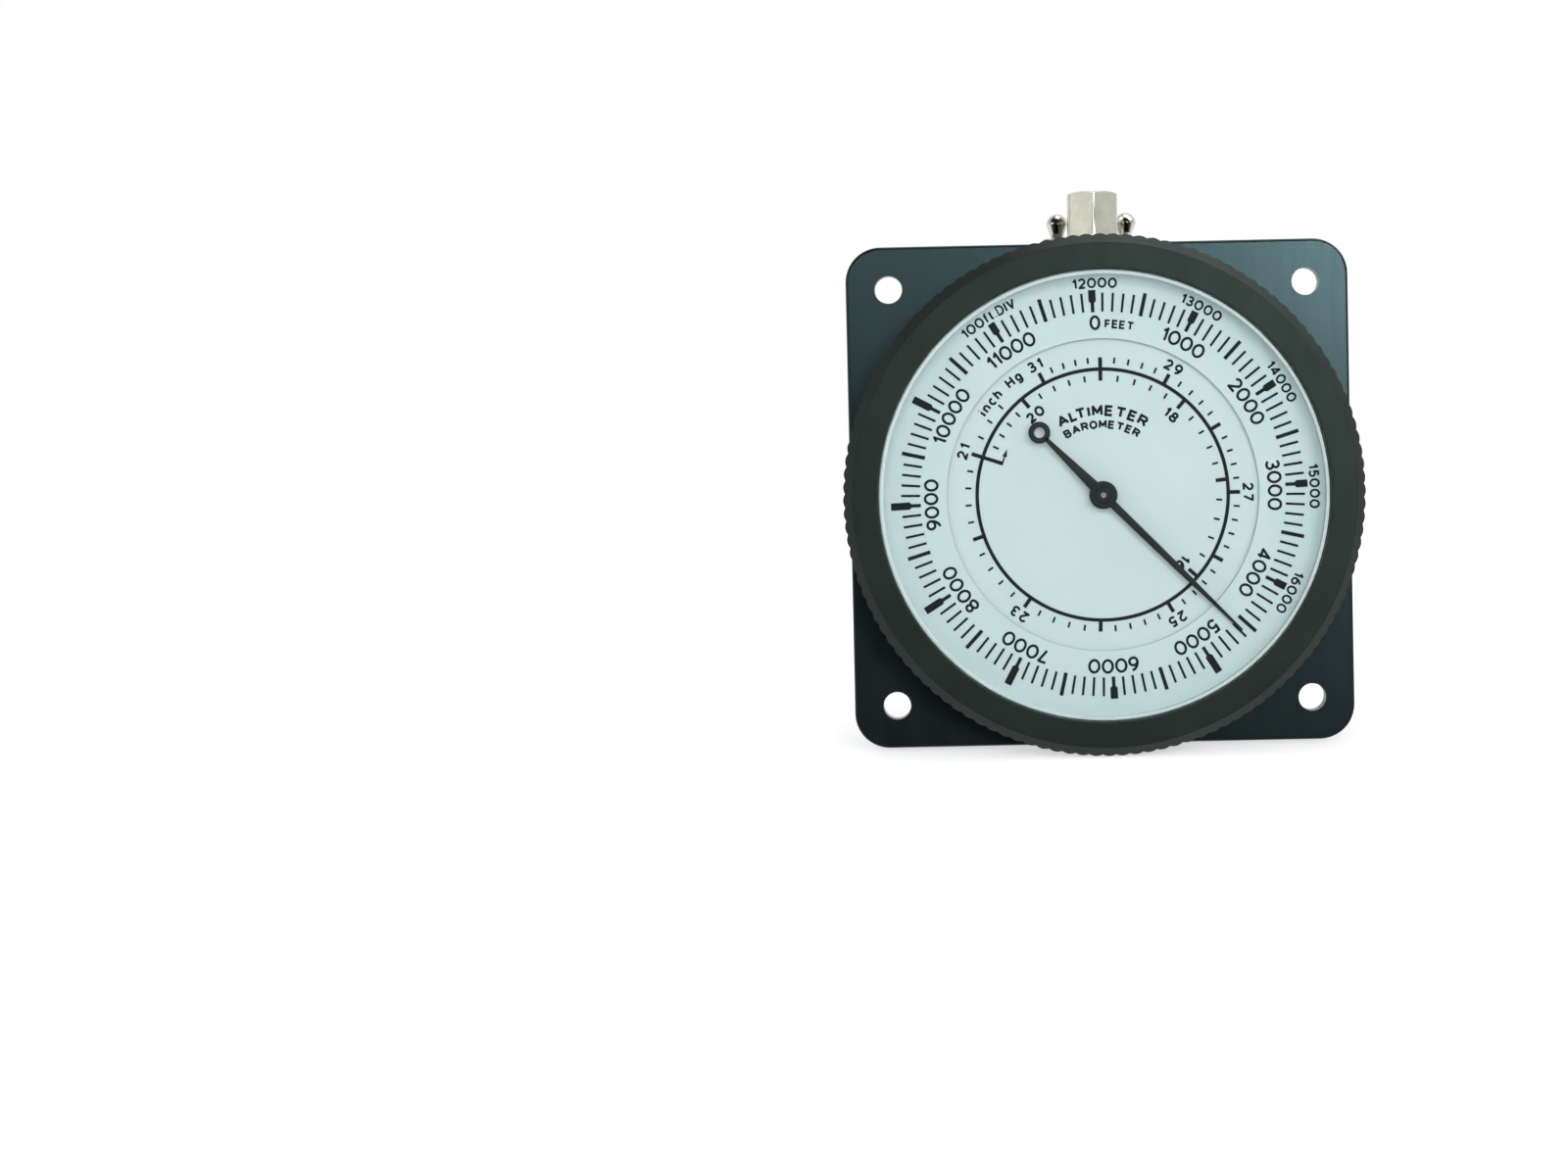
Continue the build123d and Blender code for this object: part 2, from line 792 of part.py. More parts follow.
def base_plate():
    plate = rod(0, 0, base_plate_front, base_plate_rear, movement_radius)
    window = Pos(0, base_slot_place) * SlotOverall(base_slot_length, base_slot_width)
    plate -= sheet(window, base_plate_front, base_plate_rear)
    plate -= rod(stack_across, stack_z, base_plate_front - beyond, base_plate_rear + beyond, stud_radius + screw_fit)
    lug_places = tuple(clock(movement_screw_circle, angle) for angle in lug_angles)
    for x, z in plate_pillar_places + lug_places:
        plate -= rod(x, z, base_plate_front - beyond, base_plate_rear + beyond, movement_screw_radius + screw_fit)
    return plate


def tapped_pillar(x, z, front, rear, radius, both_ends):
    pillar = rod(x, z, front, rear, radius)
    pillar -= rod(x, z, front - beyond, front + movement_screw_length, movement_screw_radius + screw_fit)
    if both_ends:
        pillar -= rod(x, z, rear - movement_screw_length, rear + beyond, movement_screw_radius + screw_fit)
    return pillar


def plate_pillars():
    return group(
        tapped_pillar(x, z, top_plate_rear, base_plate_front, plate_pillar_radius, True)
        for x, z in plate_pillar_places
    )


def bridge_pillars():
    return group(
        tapped_pillar(x, z, top_plate_rear, bridge_front, bridge_pillar_radius, False)
        for x, z in bridge_pillar_places()
    )


def gear_bridge():
    middle = sector_z / 2 + (bridge_pillar_above - bridge_pillar_below) / 2
    length = bridge_pillar_above + centre_distance + bridge_pillar_below + bridge_width
    bar = Pos(0, middle) * Rot(0, 0, 90) * SlotOverall(length, bridge_width)
    bridge = sheet(bar, bridge_front, bridge_rear)
    for x, z, front, rear in jewel_places()[2:]:
        bridge -= rod(x, z, front - beyond, rear + beyond, jewel_radius)
    for x, z in bridge_pillar_places():
        bridge -= rod(x, z, bridge_front - beyond, bridge_rear + beyond, movement_screw_radius + screw_fit)
    stud_x, stud_z = spring_stud_place()
    bridge -= rod(stud_x, stud_z, bridge_front - beyond, bridge_rear + beyond, spring_stud_radius)
    return bridge


def pivot_jewels():
    bore = pivot_radius + pivot_fit
    return group(tube(x, z, front, rear, jewel_radius, bore) for x, z, front, rear in jewel_places())


def movement_screws():
    """Screws of the frame: pillars, bridge, rocker posts and the lugs of the case."""
    size = (movement_screw_radius, movement_screw_length + top_plate_thickness - movement_screw_short)
    head = (movement_head_radius, movement_head_height)
    screws = []
    for x, z in plate_pillar_places + bridge_pillar_places() + rocker_post_places():
        screws.append(slotted_screw(x, z, top_plate_front, 1, *size, *head))
    for x, z in plate_pillar_places:
        screws.append(slotted_screw(x, z, base_plate_rear, -1, *size, *head))
    for x, z in (clock(movement_screw_circle, angle) for angle in lug_angles):
        screws.append(slotted_screw(x, z, base_plate_rear, -1, *size, *head))
    return group(screws)


def rocker_posts():
    posts = []
    for x, z in rocker_post_places():
        post = tapped_pillar(x, z, top_plate_rear, shaft_back + rocker_post_over, rocker_post_radius, False)
        reach = rocker_post_radius + beyond
        post -= cross_rod(x - reach, x + reach, shaft_back, z, pivot_radius + pivot_fit)
        posts.append(post)
    return group(posts)


# Gears


def involute(angle):
    return math.tan(angle) - angle


def gear_flank(teeth, shift, radius):
    """Half the angle of a tooth at a radius, in radians."""
    alpha = math.radians(pressure_angle)
    pitch_radius = gear_module * teeth / 2
    base_radius = pitch_radius * math.cos(alpha)
    half_thickness = gear_module * (math.pi / 4 + shift * math.tan(alpha)) - flank_relief
    local = math.acos(min(1.0, base_radius / radius))
    return half_thickness / pitch_radius + involute(alpha) - involute(local)


def tooth_edges(teeth, shift, root, tip, middle):
    """Root line, two involute flanks and the tip of one tooth, at a clock angle."""
    pitch_radius = gear_module * teeth / 2
    low = max(root, pitch_radius * math.cos(math.radians(pressure_angle)))
    radii = (low, (low + tip) / 2, tip)
    turns = [math.degrees(gear_flank(teeth, shift, radius)) for radius in radii]
    left = [clock(radius, middle - turn) for radius, turn in zip(radii, turns)]
    right = [clock(radius, middle + turn) for radius, turn in zip(radii, turns)]
    edges = [ThreePointArc(*left), Line(left[2], right[2]), ThreePointArc(*reversed(right))]
    root_left = clock(root, middle - turns[0])
    root_right = clock(root, middle + turns[0])
    if low > root:
        edges = [Line(root_left, left[0])] + edges + [Line(right[0], root_right)]
    return edges, root_left, root_right


def toothed_edges(teeth, shift, tooth_angles):
    """Edges of a run of teeth joined along the root circle."""
    root = gear_module * (teeth / 2 - 1.25 + shift)
    tip = gear_module * (teeth / 2 + 1 + shift)
    edges, ends = [], []
    for middle in tooth_angles:
        tooth, start, end = tooth_edges(teeth, shift, root, tip, middle)
        if ends:
            edges.append(Line(ends[-1][1], start))
        edges += tooth
        ends.append((start, end))
    return edges, ends


def pinion():
    pitch = 360 / pinion_teeth
    angles = [pitch * (i + 0.5) for i in range(pinion_teeth)]
    edges, ends = toothed_edges(pinion_teeth, profile_shift, angles)
    edges.append(Line(ends[-1][1], ends[0][0]))
    wheel = sheet(make_face(edges), sector_front - pinion_overhang, sector_rear + pinion_overhang)
    return wheel - rod(0, 0, sector_front - beyond, sector_rear + beyond, arbor_radius)


def sector_gear():
    pitch = 360 / sector_full_teeth
    angles = [pitch * i for i in range(sector_first_tooth, sector_last_tooth + 1)]
    edges, ends = toothed_edges(sector_full_teeth, -profile_shift, angles)
    rim_inner = centre_distance - gear_module * pinion_teeth / 2 - sector_rim
    first, last = ends[0][0], ends[-1][1]
    low, high = angles[0] - pitch / 2, angles[-1] + pitch / 2
    middle = (low + high) / 2
    edges += [
        Line(last, clock(rim_inner, high)),
        ThreePointArc(clock(rim_inner, high), clock(rim_inner, middle), clock(rim_inner, low)),
        Line(clock(rim_inner, low), first),
    ]
    outline = make_face(edges) + Circle(sector_hub)
    for angle in (low + spoke_inset_angle, middle, high - spoke_inset_angle):
        spoke = tapered_arm(0, rim_inner + spoke_overlap, sector_spoke * spoke_taper, sector_spoke)
        outline += Rot(0, 0, -angle) * spoke
    tail = tapered_arm(0, tail_length, sector_spoke * tail_taper, tail_width)
    tail += Pos(0, tail_length) * Circle(tail_width / 2)
    outline += Rot(0, 0, 90 - rest_swing) * tail
    outline -= Circle(arbor_radius)
    outline -= Pos(*clock(tail_length, rest_swing - 90)) * Circle(tail_pin_radius)
    return sheet(Pos(sector_x, sector_z) * outline, sector_front, sector_rear)


def arbor(x, z):
    """Arbor between the top plate's jewel and the bridge's jewel."""
    front, rear = top_plate_rear + jewel_shoulder_gap, bridge_front - jewel_shoulder_gap
    body = rod(x, z, front, rear, arbor_radius)
    return body + rod(x, z, bridge_front - beyond, bridge_rear, pivot_radius)


def sector_arbor():
    front_pivot = rod(sector_x, sector_z, top_plate_front, top_plate_rear + beyond, pivot_radius)
    return arbor(sector_x, sector_z) + front_pivot


def hand_staff():
    staff = arbor(0, 0) + rod(0, 0, dial_front, top_plate_rear + beyond, pivot_radius)
    return staff + rod(0, 0, staff_front, dial_front, staff_end_radius)


def tail_pin():
    x, z = clock(tail_length, rest_swing - 90)
    return rod(sector_x + x, sector_z + z, sector_front, tail_pin_reach, tail_pin_radius)


# Rocking shaft


def rocking_shaft():
    inner_left = shaft_left + rocker_post_radius + jewel_shoulder_gap
    inner_right = shaft_right - rocker_post_radius - jewel_shoulder_gap
    shaft = cross_rod(inner_left, inner_right, shaft_back, sector_z, shaft_radius)
    return shaft + cross_rod(shaft_left, shaft_right, shaft_back, sector_z, pivot_radius)


def arm_boss(left, right):
    ring = cross_rod(left, right, shaft_back, sector_z, arm_boss_radius)
    return ring - cross_rod(left - beyond, right + beyond, shaft_back, sector_z, shaft_radius)


def sector_arm():
    """Long blade that lies over the tail pin, on its upper side."""
    left = sector_x - tail_length + long_arm_side_shift - long_arm_width / 2
    right = left + long_arm_width
    under = sector_z + tail_pin_radius + tail_pin_gap
    reach = tail_length + long_arm_overlap
    middle = shaft_back - (long_arm_start + reach) / 2
    blade = Pos(middle, under + long_arm_thickness / 2) * Rectangle(reach - long_arm_start, long_arm_thickness)
    return rocked(arm_boss(left, right) + side_sheet(blade, left, right))


def bimetal_arm():
    """Short arm that the capsule's link moves, with the link's pin at its end."""
    tip = sector_z + short_arm_length
    strip = Pos(shaft_back, sector_z + strip_start + strip_length / 2) * Rectangle(strip_thickness, strip_length)
    end = Pos(shaft_back, tip) * Circle(short_arm_eye)
    arm = arm_boss(short_arm_left, short_arm_right) + side_sheet(strip + end, short_arm_left, short_arm_right)
    pin_end = stack_across + link_thickness / 2 + pin_over_link
    return rocked(arm + cross_rod(short_arm_left, pin_end, shaft_back, tip, link_pin_radius))


def rocker_weight():
    left, right = weight_place - weight_width / 2, weight_place + weight_width / 2
    stem = Pos(shaft_back, sector_z - weight_drop / 2) * Rectangle(weight_stem, weight_drop)
    lobe = Pos(shaft_back, sector_z - weight_drop) * Circle(weight_radius)
    weight = arm_boss(left, right) + side_sheet(stem + lobe, left, right)
    return rocked(weight - cross_rod(left - beyond, right + beyond, shaft_back, sector_z, shaft_radius))


# Capsules and link


def capsule(front, rear):
    """Sealed capsule of two corrugated halves joined at the rim."""
    middle = (front + rear) / 2
    crest = corrugation_height / 2
    half = capsule_thickness / 2 - capsule_boss_rise
    step = (capsule_radius - capsule_seam_margin - capsule_boss) / (2 * corrugation_count)
    waves = []
    for i in range(2 * corrugation_count):
        waves.append((capsule_boss + step * (i + 0.5), half + (crest if i % 2 else -crest)))
    face = [(0, capsule_thickness / 2), (capsule_boss, capsule_thickness / 2)] + waves
    face += [(capsule_radius - capsule_seam, capsule_rim / 2), (capsule_radius, capsule_rim / 2)]
    outline = [(r, middle - h) for r, h in face] + [(r, middle + h) for r, h in reversed(face)]
    return Pos(stack_across, 0, stack_z) * turned(*outline)


def capsule_stud():
    stud = rod(stack_across, stack_z, capsule_rear, stud_rear, stud_radius)
    return stud + rod(stack_across, stack_z, capsule_rear, base_plate_front, capsule_boss)


def capsule_nut():
    outline = RegularPolygon(nut_flats / 2, 6, major_radius=False) - Circle(stud_radius)
    return sheet(Pos(stack_across, stack_z) * outline, base_plate_rear, base_plate_rear + nut_height)


def capsule_head():
    """Disc on the upper capsule, with two cheeks that hold the link's pin."""
    floor = clevis_back + link_width / 2 + clevis_floor_gap
    head = rod(stack_across, stack_z, floor, capsule_front, capsule_boss)
    inner = link_thickness / 2 + clevis_gap
    cheek = Pos((clevis_back + floor) / 2, stack_z) * Rectangle(floor - clevis_back, clevis_width)
    cheek += Pos(clevis_back, stack_z) * Circle(clevis_width / 2)
    cheek -= Pos(clevis_back, stack_z) * Circle(link_pin_radius)
    for side in (-inner - clevis_cheek, inner):
        head += side_sheet(cheek, stack_across + side, stack_across + side + clevis_cheek)
    return head


def clevis_pin():
    reach = link_thickness / 2 + clevis_gap + clevis_cheek
    return cross_rod(stack_across - reach, stack_across + reach, clevis_back, stack_z, link_pin_radius)


def capsule_link():
    """Flat link with a round eye on the clevis pin and a long eye round the short arm's pin."""
    front_eye = clevis_back - link_length
    bar = Pos((clevis_back + front_eye) / 2, stack_z) * Rectangle(link_length, link_waist)
    bar += Pos(clevis_back, stack_z) * Circle(link_width / 2)
    bar += Pos(front_eye, stack_z) * Rot(0, 0, 90) * SlotOverall(link_eye_length, link_width)
    bar -= Pos(clevis_back, stack_z) * Circle(link_pin_radius + pivot_fit)
    bar -= Pos(front_eye, stack_z) * Rot(0, 0, 90) * SlotOverall(link_slot_length, 2 * link_slot_half)
    left = stack_across - link_thickness / 2
    return side_sheet(bar, left, left + link_thickness)


# Hairspring


def hairspring_radius():
    return collet_radius + hairspring_strip / 2 + hairspring_pitch * hairspring_turns


def spring_stud_place():
    return hairspring_end_offset() + hairspring_radius() + hairspring_strip / 2 + spring_stud_radius, 0


def hairspring_end_offset():
    half_turns = round(2 * hairspring_turns)
    return 0 if half_turns % 2 == 0 else hairspring_pitch / 2


def hairspring():
    """Flat spiral of half rings, each wider than the last by half the pitch."""
    growth = hairspring_pitch / 2
    radius = collet_radius + hairspring_strip / 2
    strip = Sketch()
    for i in range(round(2 * hairspring_turns)):
        centre = 0 if i % 2 == 0 else growth
        upper = i % 2 == 0
        ring = Circle(radius + hairspring_strip / 2) - Circle(radius - hairspring_strip / 2)
        keep = Pos(0, (radius + 1) / 2 * (1 if upper else -1)) * Rectangle(3 * radius, radius + 1)
        strip += Pos(centre, 0) * (ring & keep)
        radius += growth
    return sheet(strip, hairspring_front, hairspring_front + hairspring_height)


def hairspring_collet():
    rear = hairspring_front + hairspring_height
    return tube(0, 0, hairspring_front - collet_over, rear + collet_over, collet_radius, arbor_radius)


def hairspring_stud():
    x, z = spring_stud_place()
    return rod(x, z, hairspring_front - collet_over, bridge_rear, spring_stud_radius)


pieces = {
    "case_body": case_body,
    "port_fitting": port_fitting,
    "port_screws": port_screws,
    "port_o_ring": port_o_ring,
    "rear_cover": rear_cover,
    "rear_cover_gasket": lambda: cover_disc(can_length, cover_front, cover_screw_circle - cover_boss_radius),
    "cover_screws": cover_screws,
    "bezel_ring": bezel_ring,
    "bezel_retaining_ring": bezel_retaining_ring,
    "crystal": crystal,
    "crystal_gasket": crystal_gasket,
    "reflector_ring": reflector_ring,
    "altitude_ring": altitude_ring,
    "altitude_marks": altitude_marks,
    "ring_circlip": ring_circlip,
    "pressure_dial": pressure_dial,
    "pressure_marks": pressure_marks,
    "pointer": pointer,
    "pointer_bush": pointer_bush,
    "hand_staff": hand_staff,
    "pinion": pinion,
    "hairspring": hairspring,
    "hairspring_collet": hairspring_collet,
    "hairspring_stud": hairspring_stud,
    "top_plate": top_plate,
    "base_plate": base_plate,
    "plate_pillars": plate_pillars,
    "gear_bridge": gear_bridge,
    "bridge_pillars": bridge_pillars,
    "pivot_jewels": pivot_jewels,
    "movement_screws": movement_screws,
    "rocker_posts": rocker_posts,
    "sector_gear": sector_gear,
    "sector_arbor": sector_arbor,
    "tail_pin": tail_pin,
    "rocking_shaft": rocking_shaft,
    "sector_arm": sector_arm,
    "bimetal_arm": bimetal_arm,
    "rocker_weight": rocker_weight,
    "lower_capsule": lambda: capsule(capsule_middle, capsule_rear),
    "upper_capsule": lambda: capsule(capsule_front, capsule_middle),
    "capsule_stud": capsule_stud,
    "capsule_nut": capsule_nut,
    "capsule_head": capsule_head,
    "clevis_pin": clevis_pin,
    "capsule_link": capsule_link,
}

os.makedirs("parts", exist_ok=True)
for name, build in pieces.items():
    export_step(build(), f"parts/{name}.step")
    print(name)
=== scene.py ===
import bpy
import bmesh
import math
from mathutils import Matrix, Vector


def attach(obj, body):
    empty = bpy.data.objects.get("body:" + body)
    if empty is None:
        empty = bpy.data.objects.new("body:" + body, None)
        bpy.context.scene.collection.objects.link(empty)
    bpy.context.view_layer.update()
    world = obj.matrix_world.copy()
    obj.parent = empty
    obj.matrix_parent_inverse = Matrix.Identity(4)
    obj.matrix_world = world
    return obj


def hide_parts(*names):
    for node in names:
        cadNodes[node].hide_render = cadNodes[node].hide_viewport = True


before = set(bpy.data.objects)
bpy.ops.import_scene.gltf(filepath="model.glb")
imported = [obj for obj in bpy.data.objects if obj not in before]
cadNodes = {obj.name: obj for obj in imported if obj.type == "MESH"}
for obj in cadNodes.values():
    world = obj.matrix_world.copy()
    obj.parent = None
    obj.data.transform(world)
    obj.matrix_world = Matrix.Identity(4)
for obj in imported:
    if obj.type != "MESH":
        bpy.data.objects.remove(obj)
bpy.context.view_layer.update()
mm = 0.001  # the pieces' sizes are written in mm


# Colour and node helpers

def hexColour(code):
    channels = [int(code[i:i + 2], 16) / 255 for i in (1, 3, 5)]
    linear = [c / 12.92 if c <= 0.04045 else ((c + 0.055) / 1.055) ** 2.4 for c in channels]
    return (*linear, 1.0)


def addNode(tree, kind, settings=None, values=None, links=None):
    node = tree.nodes.new(kind)
    for name, value in (settings or {}).items():
        setattr(node, name, value)
    for socket, value in (values or {}).items():
        node.inputs[socket].default_value = value
    for socket, source in (links or {}).items():
        tree.links.new(source, node.inputs[socket])
    return node


def emptyMaterial(name):
    # a new material that holds only the object's own coordinates
    material = bpy.data.materials.new(name)
    material.use_nodes = True
    tree = material.node_tree
    tree.nodes.clear()
    place = addNode(tree, "ShaderNodeTexCoord").outputs["Object"]
    return material, tree, place


def startMaterial(name, shaderValues):
    # a new material with a Principled shader and its output
    material, tree, place = emptyMaterial(name)
    shader = addNode(tree, "ShaderNodeBsdfPrincipled", values=shaderValues)
    addNode(tree, "ShaderNodeOutputMaterial", links={"Surface": shader.outputs["BSDF"]})
    return material, tree, shader, place


def noiseAt(tree, place, sizeMm, detail=2.0, roughness=0.5):
    # noise whose blobs are about sizeMm across
    return addNode(tree, "ShaderNodeTexNoise",
                   values={"Scale": 1 / (sizeMm * mm), "Detail": detail, "Roughness": roughness},
                   links={"Vector": place})


def spread(tree, value, low, high, fromLow=0.3, fromHigh=0.7):
    # stretches the middle of a noise, or any other stretch of values, over low to high
    ends = {"From Min": fromLow, "From Max": fromHigh, "To Min": low, "To Max": high}
    return addNode(tree, "ShaderNodeMapRange", values=ends, links={"Value": value})


def blendColours(tree, factor, first, second):
    mix = addNode(tree, "ShaderNodeMix", {"data_type": "RGBA"}, links={"Factor": factor})
    for socket, colour in ((6, first), (7, second)):
        if isinstance(colour, str):
            mix.inputs[socket].default_value = hexColour(colour)
        else:
            tree.links.new(colour, mix.inputs[socket])
    return mix.outputs[2]


def bumpFrom(tree, height, depthMm):
    return addNode(tree, "ShaderNodeBump", values={"Distance": depthMm * mm, "Strength": 1.0},
                   links={"Height": height}).outputs["Normal"]


# Materials

def makeStovedEnamel(name, look):
    # black stoved enamel sprayed on cast aluminium: a slightly pebbled satin skin with a cold sheen
    material, tree, shader, place = startMaterial(name, {
        "IOR": 1.5, "Specular Tint": hexColour(look["sheen"]), "Roughness": look["rough"][0]})
    cloud = noiseAt(tree, place, look["cloudSize"], 4.0)
    colour = blendColours(tree, spread(tree, cloud.outputs["Fac"], 0, 1).outputs["Result"],
                          look["dark"], look["pale"])
    tree.links.new(colour, shader.inputs["Base Color"])
    # wiping leaves faint upright streaks in the gloss
    upright = addNode(tree, "ShaderNodeMapping", values={"Scale": (1, 1, look["streakPull"])},
                      links={"Vector": place})
    streak = noiseAt(tree, upright.outputs["Vector"], look["streak"], 3.0, 0.6)
    rough = spread(tree, streak.outputs["Fac"], *look["rough"])
    tree.links.new(rough.outputs["Result"], shader.inputs["Roughness"])
    pebble = noiseAt(tree, place, look["pebble"], 1.5)
    tree.links.new(bumpFrom(tree, pebble.outputs["Fac"], look["pebbleDepth"]),
                   shader.inputs["Normal"])
    return material


def makeBrushedPlating(name, look):
    # bright nickel plating over machined brass: fine scratches one way and a faint warm cloudiness
    material, tree, shader, place = startMaterial(name, {
        "Metallic": 1.0, "Roughness": look["rough"][0]})
    stretched = addNode(tree, "ShaderNodeMapping", values={"Scale": look["grain"]},
                        links={"Vector": place})
    scratches = noiseAt(tree, stretched.outputs["Vector"], look["scratch"], 3.0, 0.6)
    cloud = noiseAt(tree, place, look["cloud"], 3.0)
    colour = blendColours(tree, spread(tree, cloud.outputs["Fac"], 0, 1).outputs["Result"],
                          look["dark"], look["pale"])
    tree.links.new(colour, shader.inputs["Base Color"])
    rough = spread(tree, scratches.outputs["Fac"], *look["rough"])
    tree.links.new(rough.outputs["Result"], shader.inputs["Roughness"])
    tree.links.new(bumpFrom(tree, scratches.outputs["Fac"], look["depth"]), shader.inputs["Normal"])
    return material


def makeSprayedDial(name, look):
    # matt off-white lacquer sprayed on a flat disc: even, with a very fine dry grain
    material, tree, shader, place = startMaterial(name, {
        "Roughness": look["rough"], "Specular IOR Level": look["gloss"]})
    grain = noiseAt(tree, place, look["grain"], 2.0, 0.6)
    cloud = noiseAt(tree, place, look["cloud"], 2.0)
    tone = addNode(tree, "ShaderNodeMath", {"operation": "ADD"},
                   links={0: spread(tree, grain.outputs["Fac"], 0, 0.5).outputs["Result"],
                          1: spread(tree, cloud.outputs["Fac"], 0, 0.5).outputs["Result"]})
    tree.links.new(blendColours(tree, tone.outputs["Value"], look["dark"], look["pale"]),
                   shader.inputs["Base Color"])
    tree.links.new(bumpFrom(tree, grain.outputs["Fac"], look["depth"]), shader.inputs["Normal"])
    return material


def makePlainCoat(name, look):
    # an even coat of one colour with slight unevenness in gloss, such as printing ink or rubber
    material, tree, shader, place = startMaterial(name, {"Roughness": look["rough"][0]})
    cloud = noiseAt(tree, place, look["cloud"], 3.0)
    tree.links.new(blendColours(tree, spread(tree, cloud.outputs["Fac"], 0, 1).outputs["Result"],
                                look["dark"], look["pale"]), shader.inputs["Base Color"])
    rough = spread(tree, cloud.outputs["Fac"], *look["rough"])
    tree.links.new(rough.outputs["Result"], shader.inputs["Roughness"])
    grain = noiseAt(tree, place, look["grain"], 2.0)
    tree.links.new(bumpFrom(tree, grain.outputs["Fac"], look["depth"]), shader.inputs["Normal"])
    return material


def makeClearGlass(name, look):
    # mineral glass: clear straight on, with a thin reflection that grows towards grazing view
    material, tree, place = emptyMaterial(name)
    wave = noiseAt(tree, place, look["wave"], 1.0)
    normal = bumpFrom(tree, wave.outputs["Fac"], look["depth"])
    clear = addNode(tree, "ShaderNodeBsdfTransparent", values={"Color": hexColour(look["clear"])})
    gloss = addNode(tree, "ShaderNodeBsdfGlossy", values={"Roughness": look["rough"]},
                    links={"Normal": normal})
    # the share reflected rises with the slant, and is the same from either side of a face
    straightShare, steepness = 0.04, 5.0
    slant = addNode(tree, "ShaderNodeLayerWeight", values={"Blend": 0.5}).outputs["Facing"]
    rise = addNode(tree, "ShaderNodeMath", {"operation": "POWER"}, values={1: steepness},
                   links={0: slant})
    share = addNode(tree, "ShaderNodeMath", {"operation": "MULTIPLY_ADD"},
                    values={1: 1 - straightShare, 2: straightShare},
                    links={0: rise.outputs["Value"]})
    surface = addNode(tree, "ShaderNodeMixShader", links={
        0: share.outputs["Value"], 1: clear.outputs["BSDF"], 2: gloss.outputs["BSDF"]})
    if look.get("inner"):
        # the near-white diffuse share on the bevel is a painted highlight: it stands in for the
        # light that the pane gathers and shows as a bright line
        paintedHighlight = addNode(tree, "ShaderNodeBsdfDiffuse",
                         values={"Color": hexColour(look["paintedHighlightColour"])}, links={"Normal": normal})
        surface = addNode(tree, "ShaderNodeMixShader", values={0: look["inner"]},
                          links={1: surface.outputs["Shader"], 2: paintedHighlight.outputs["BSDF"]})
    addNode(tree, "ShaderNodeOutputMaterial", links={"Surface": surface.outputs["Shader"]})
    return material


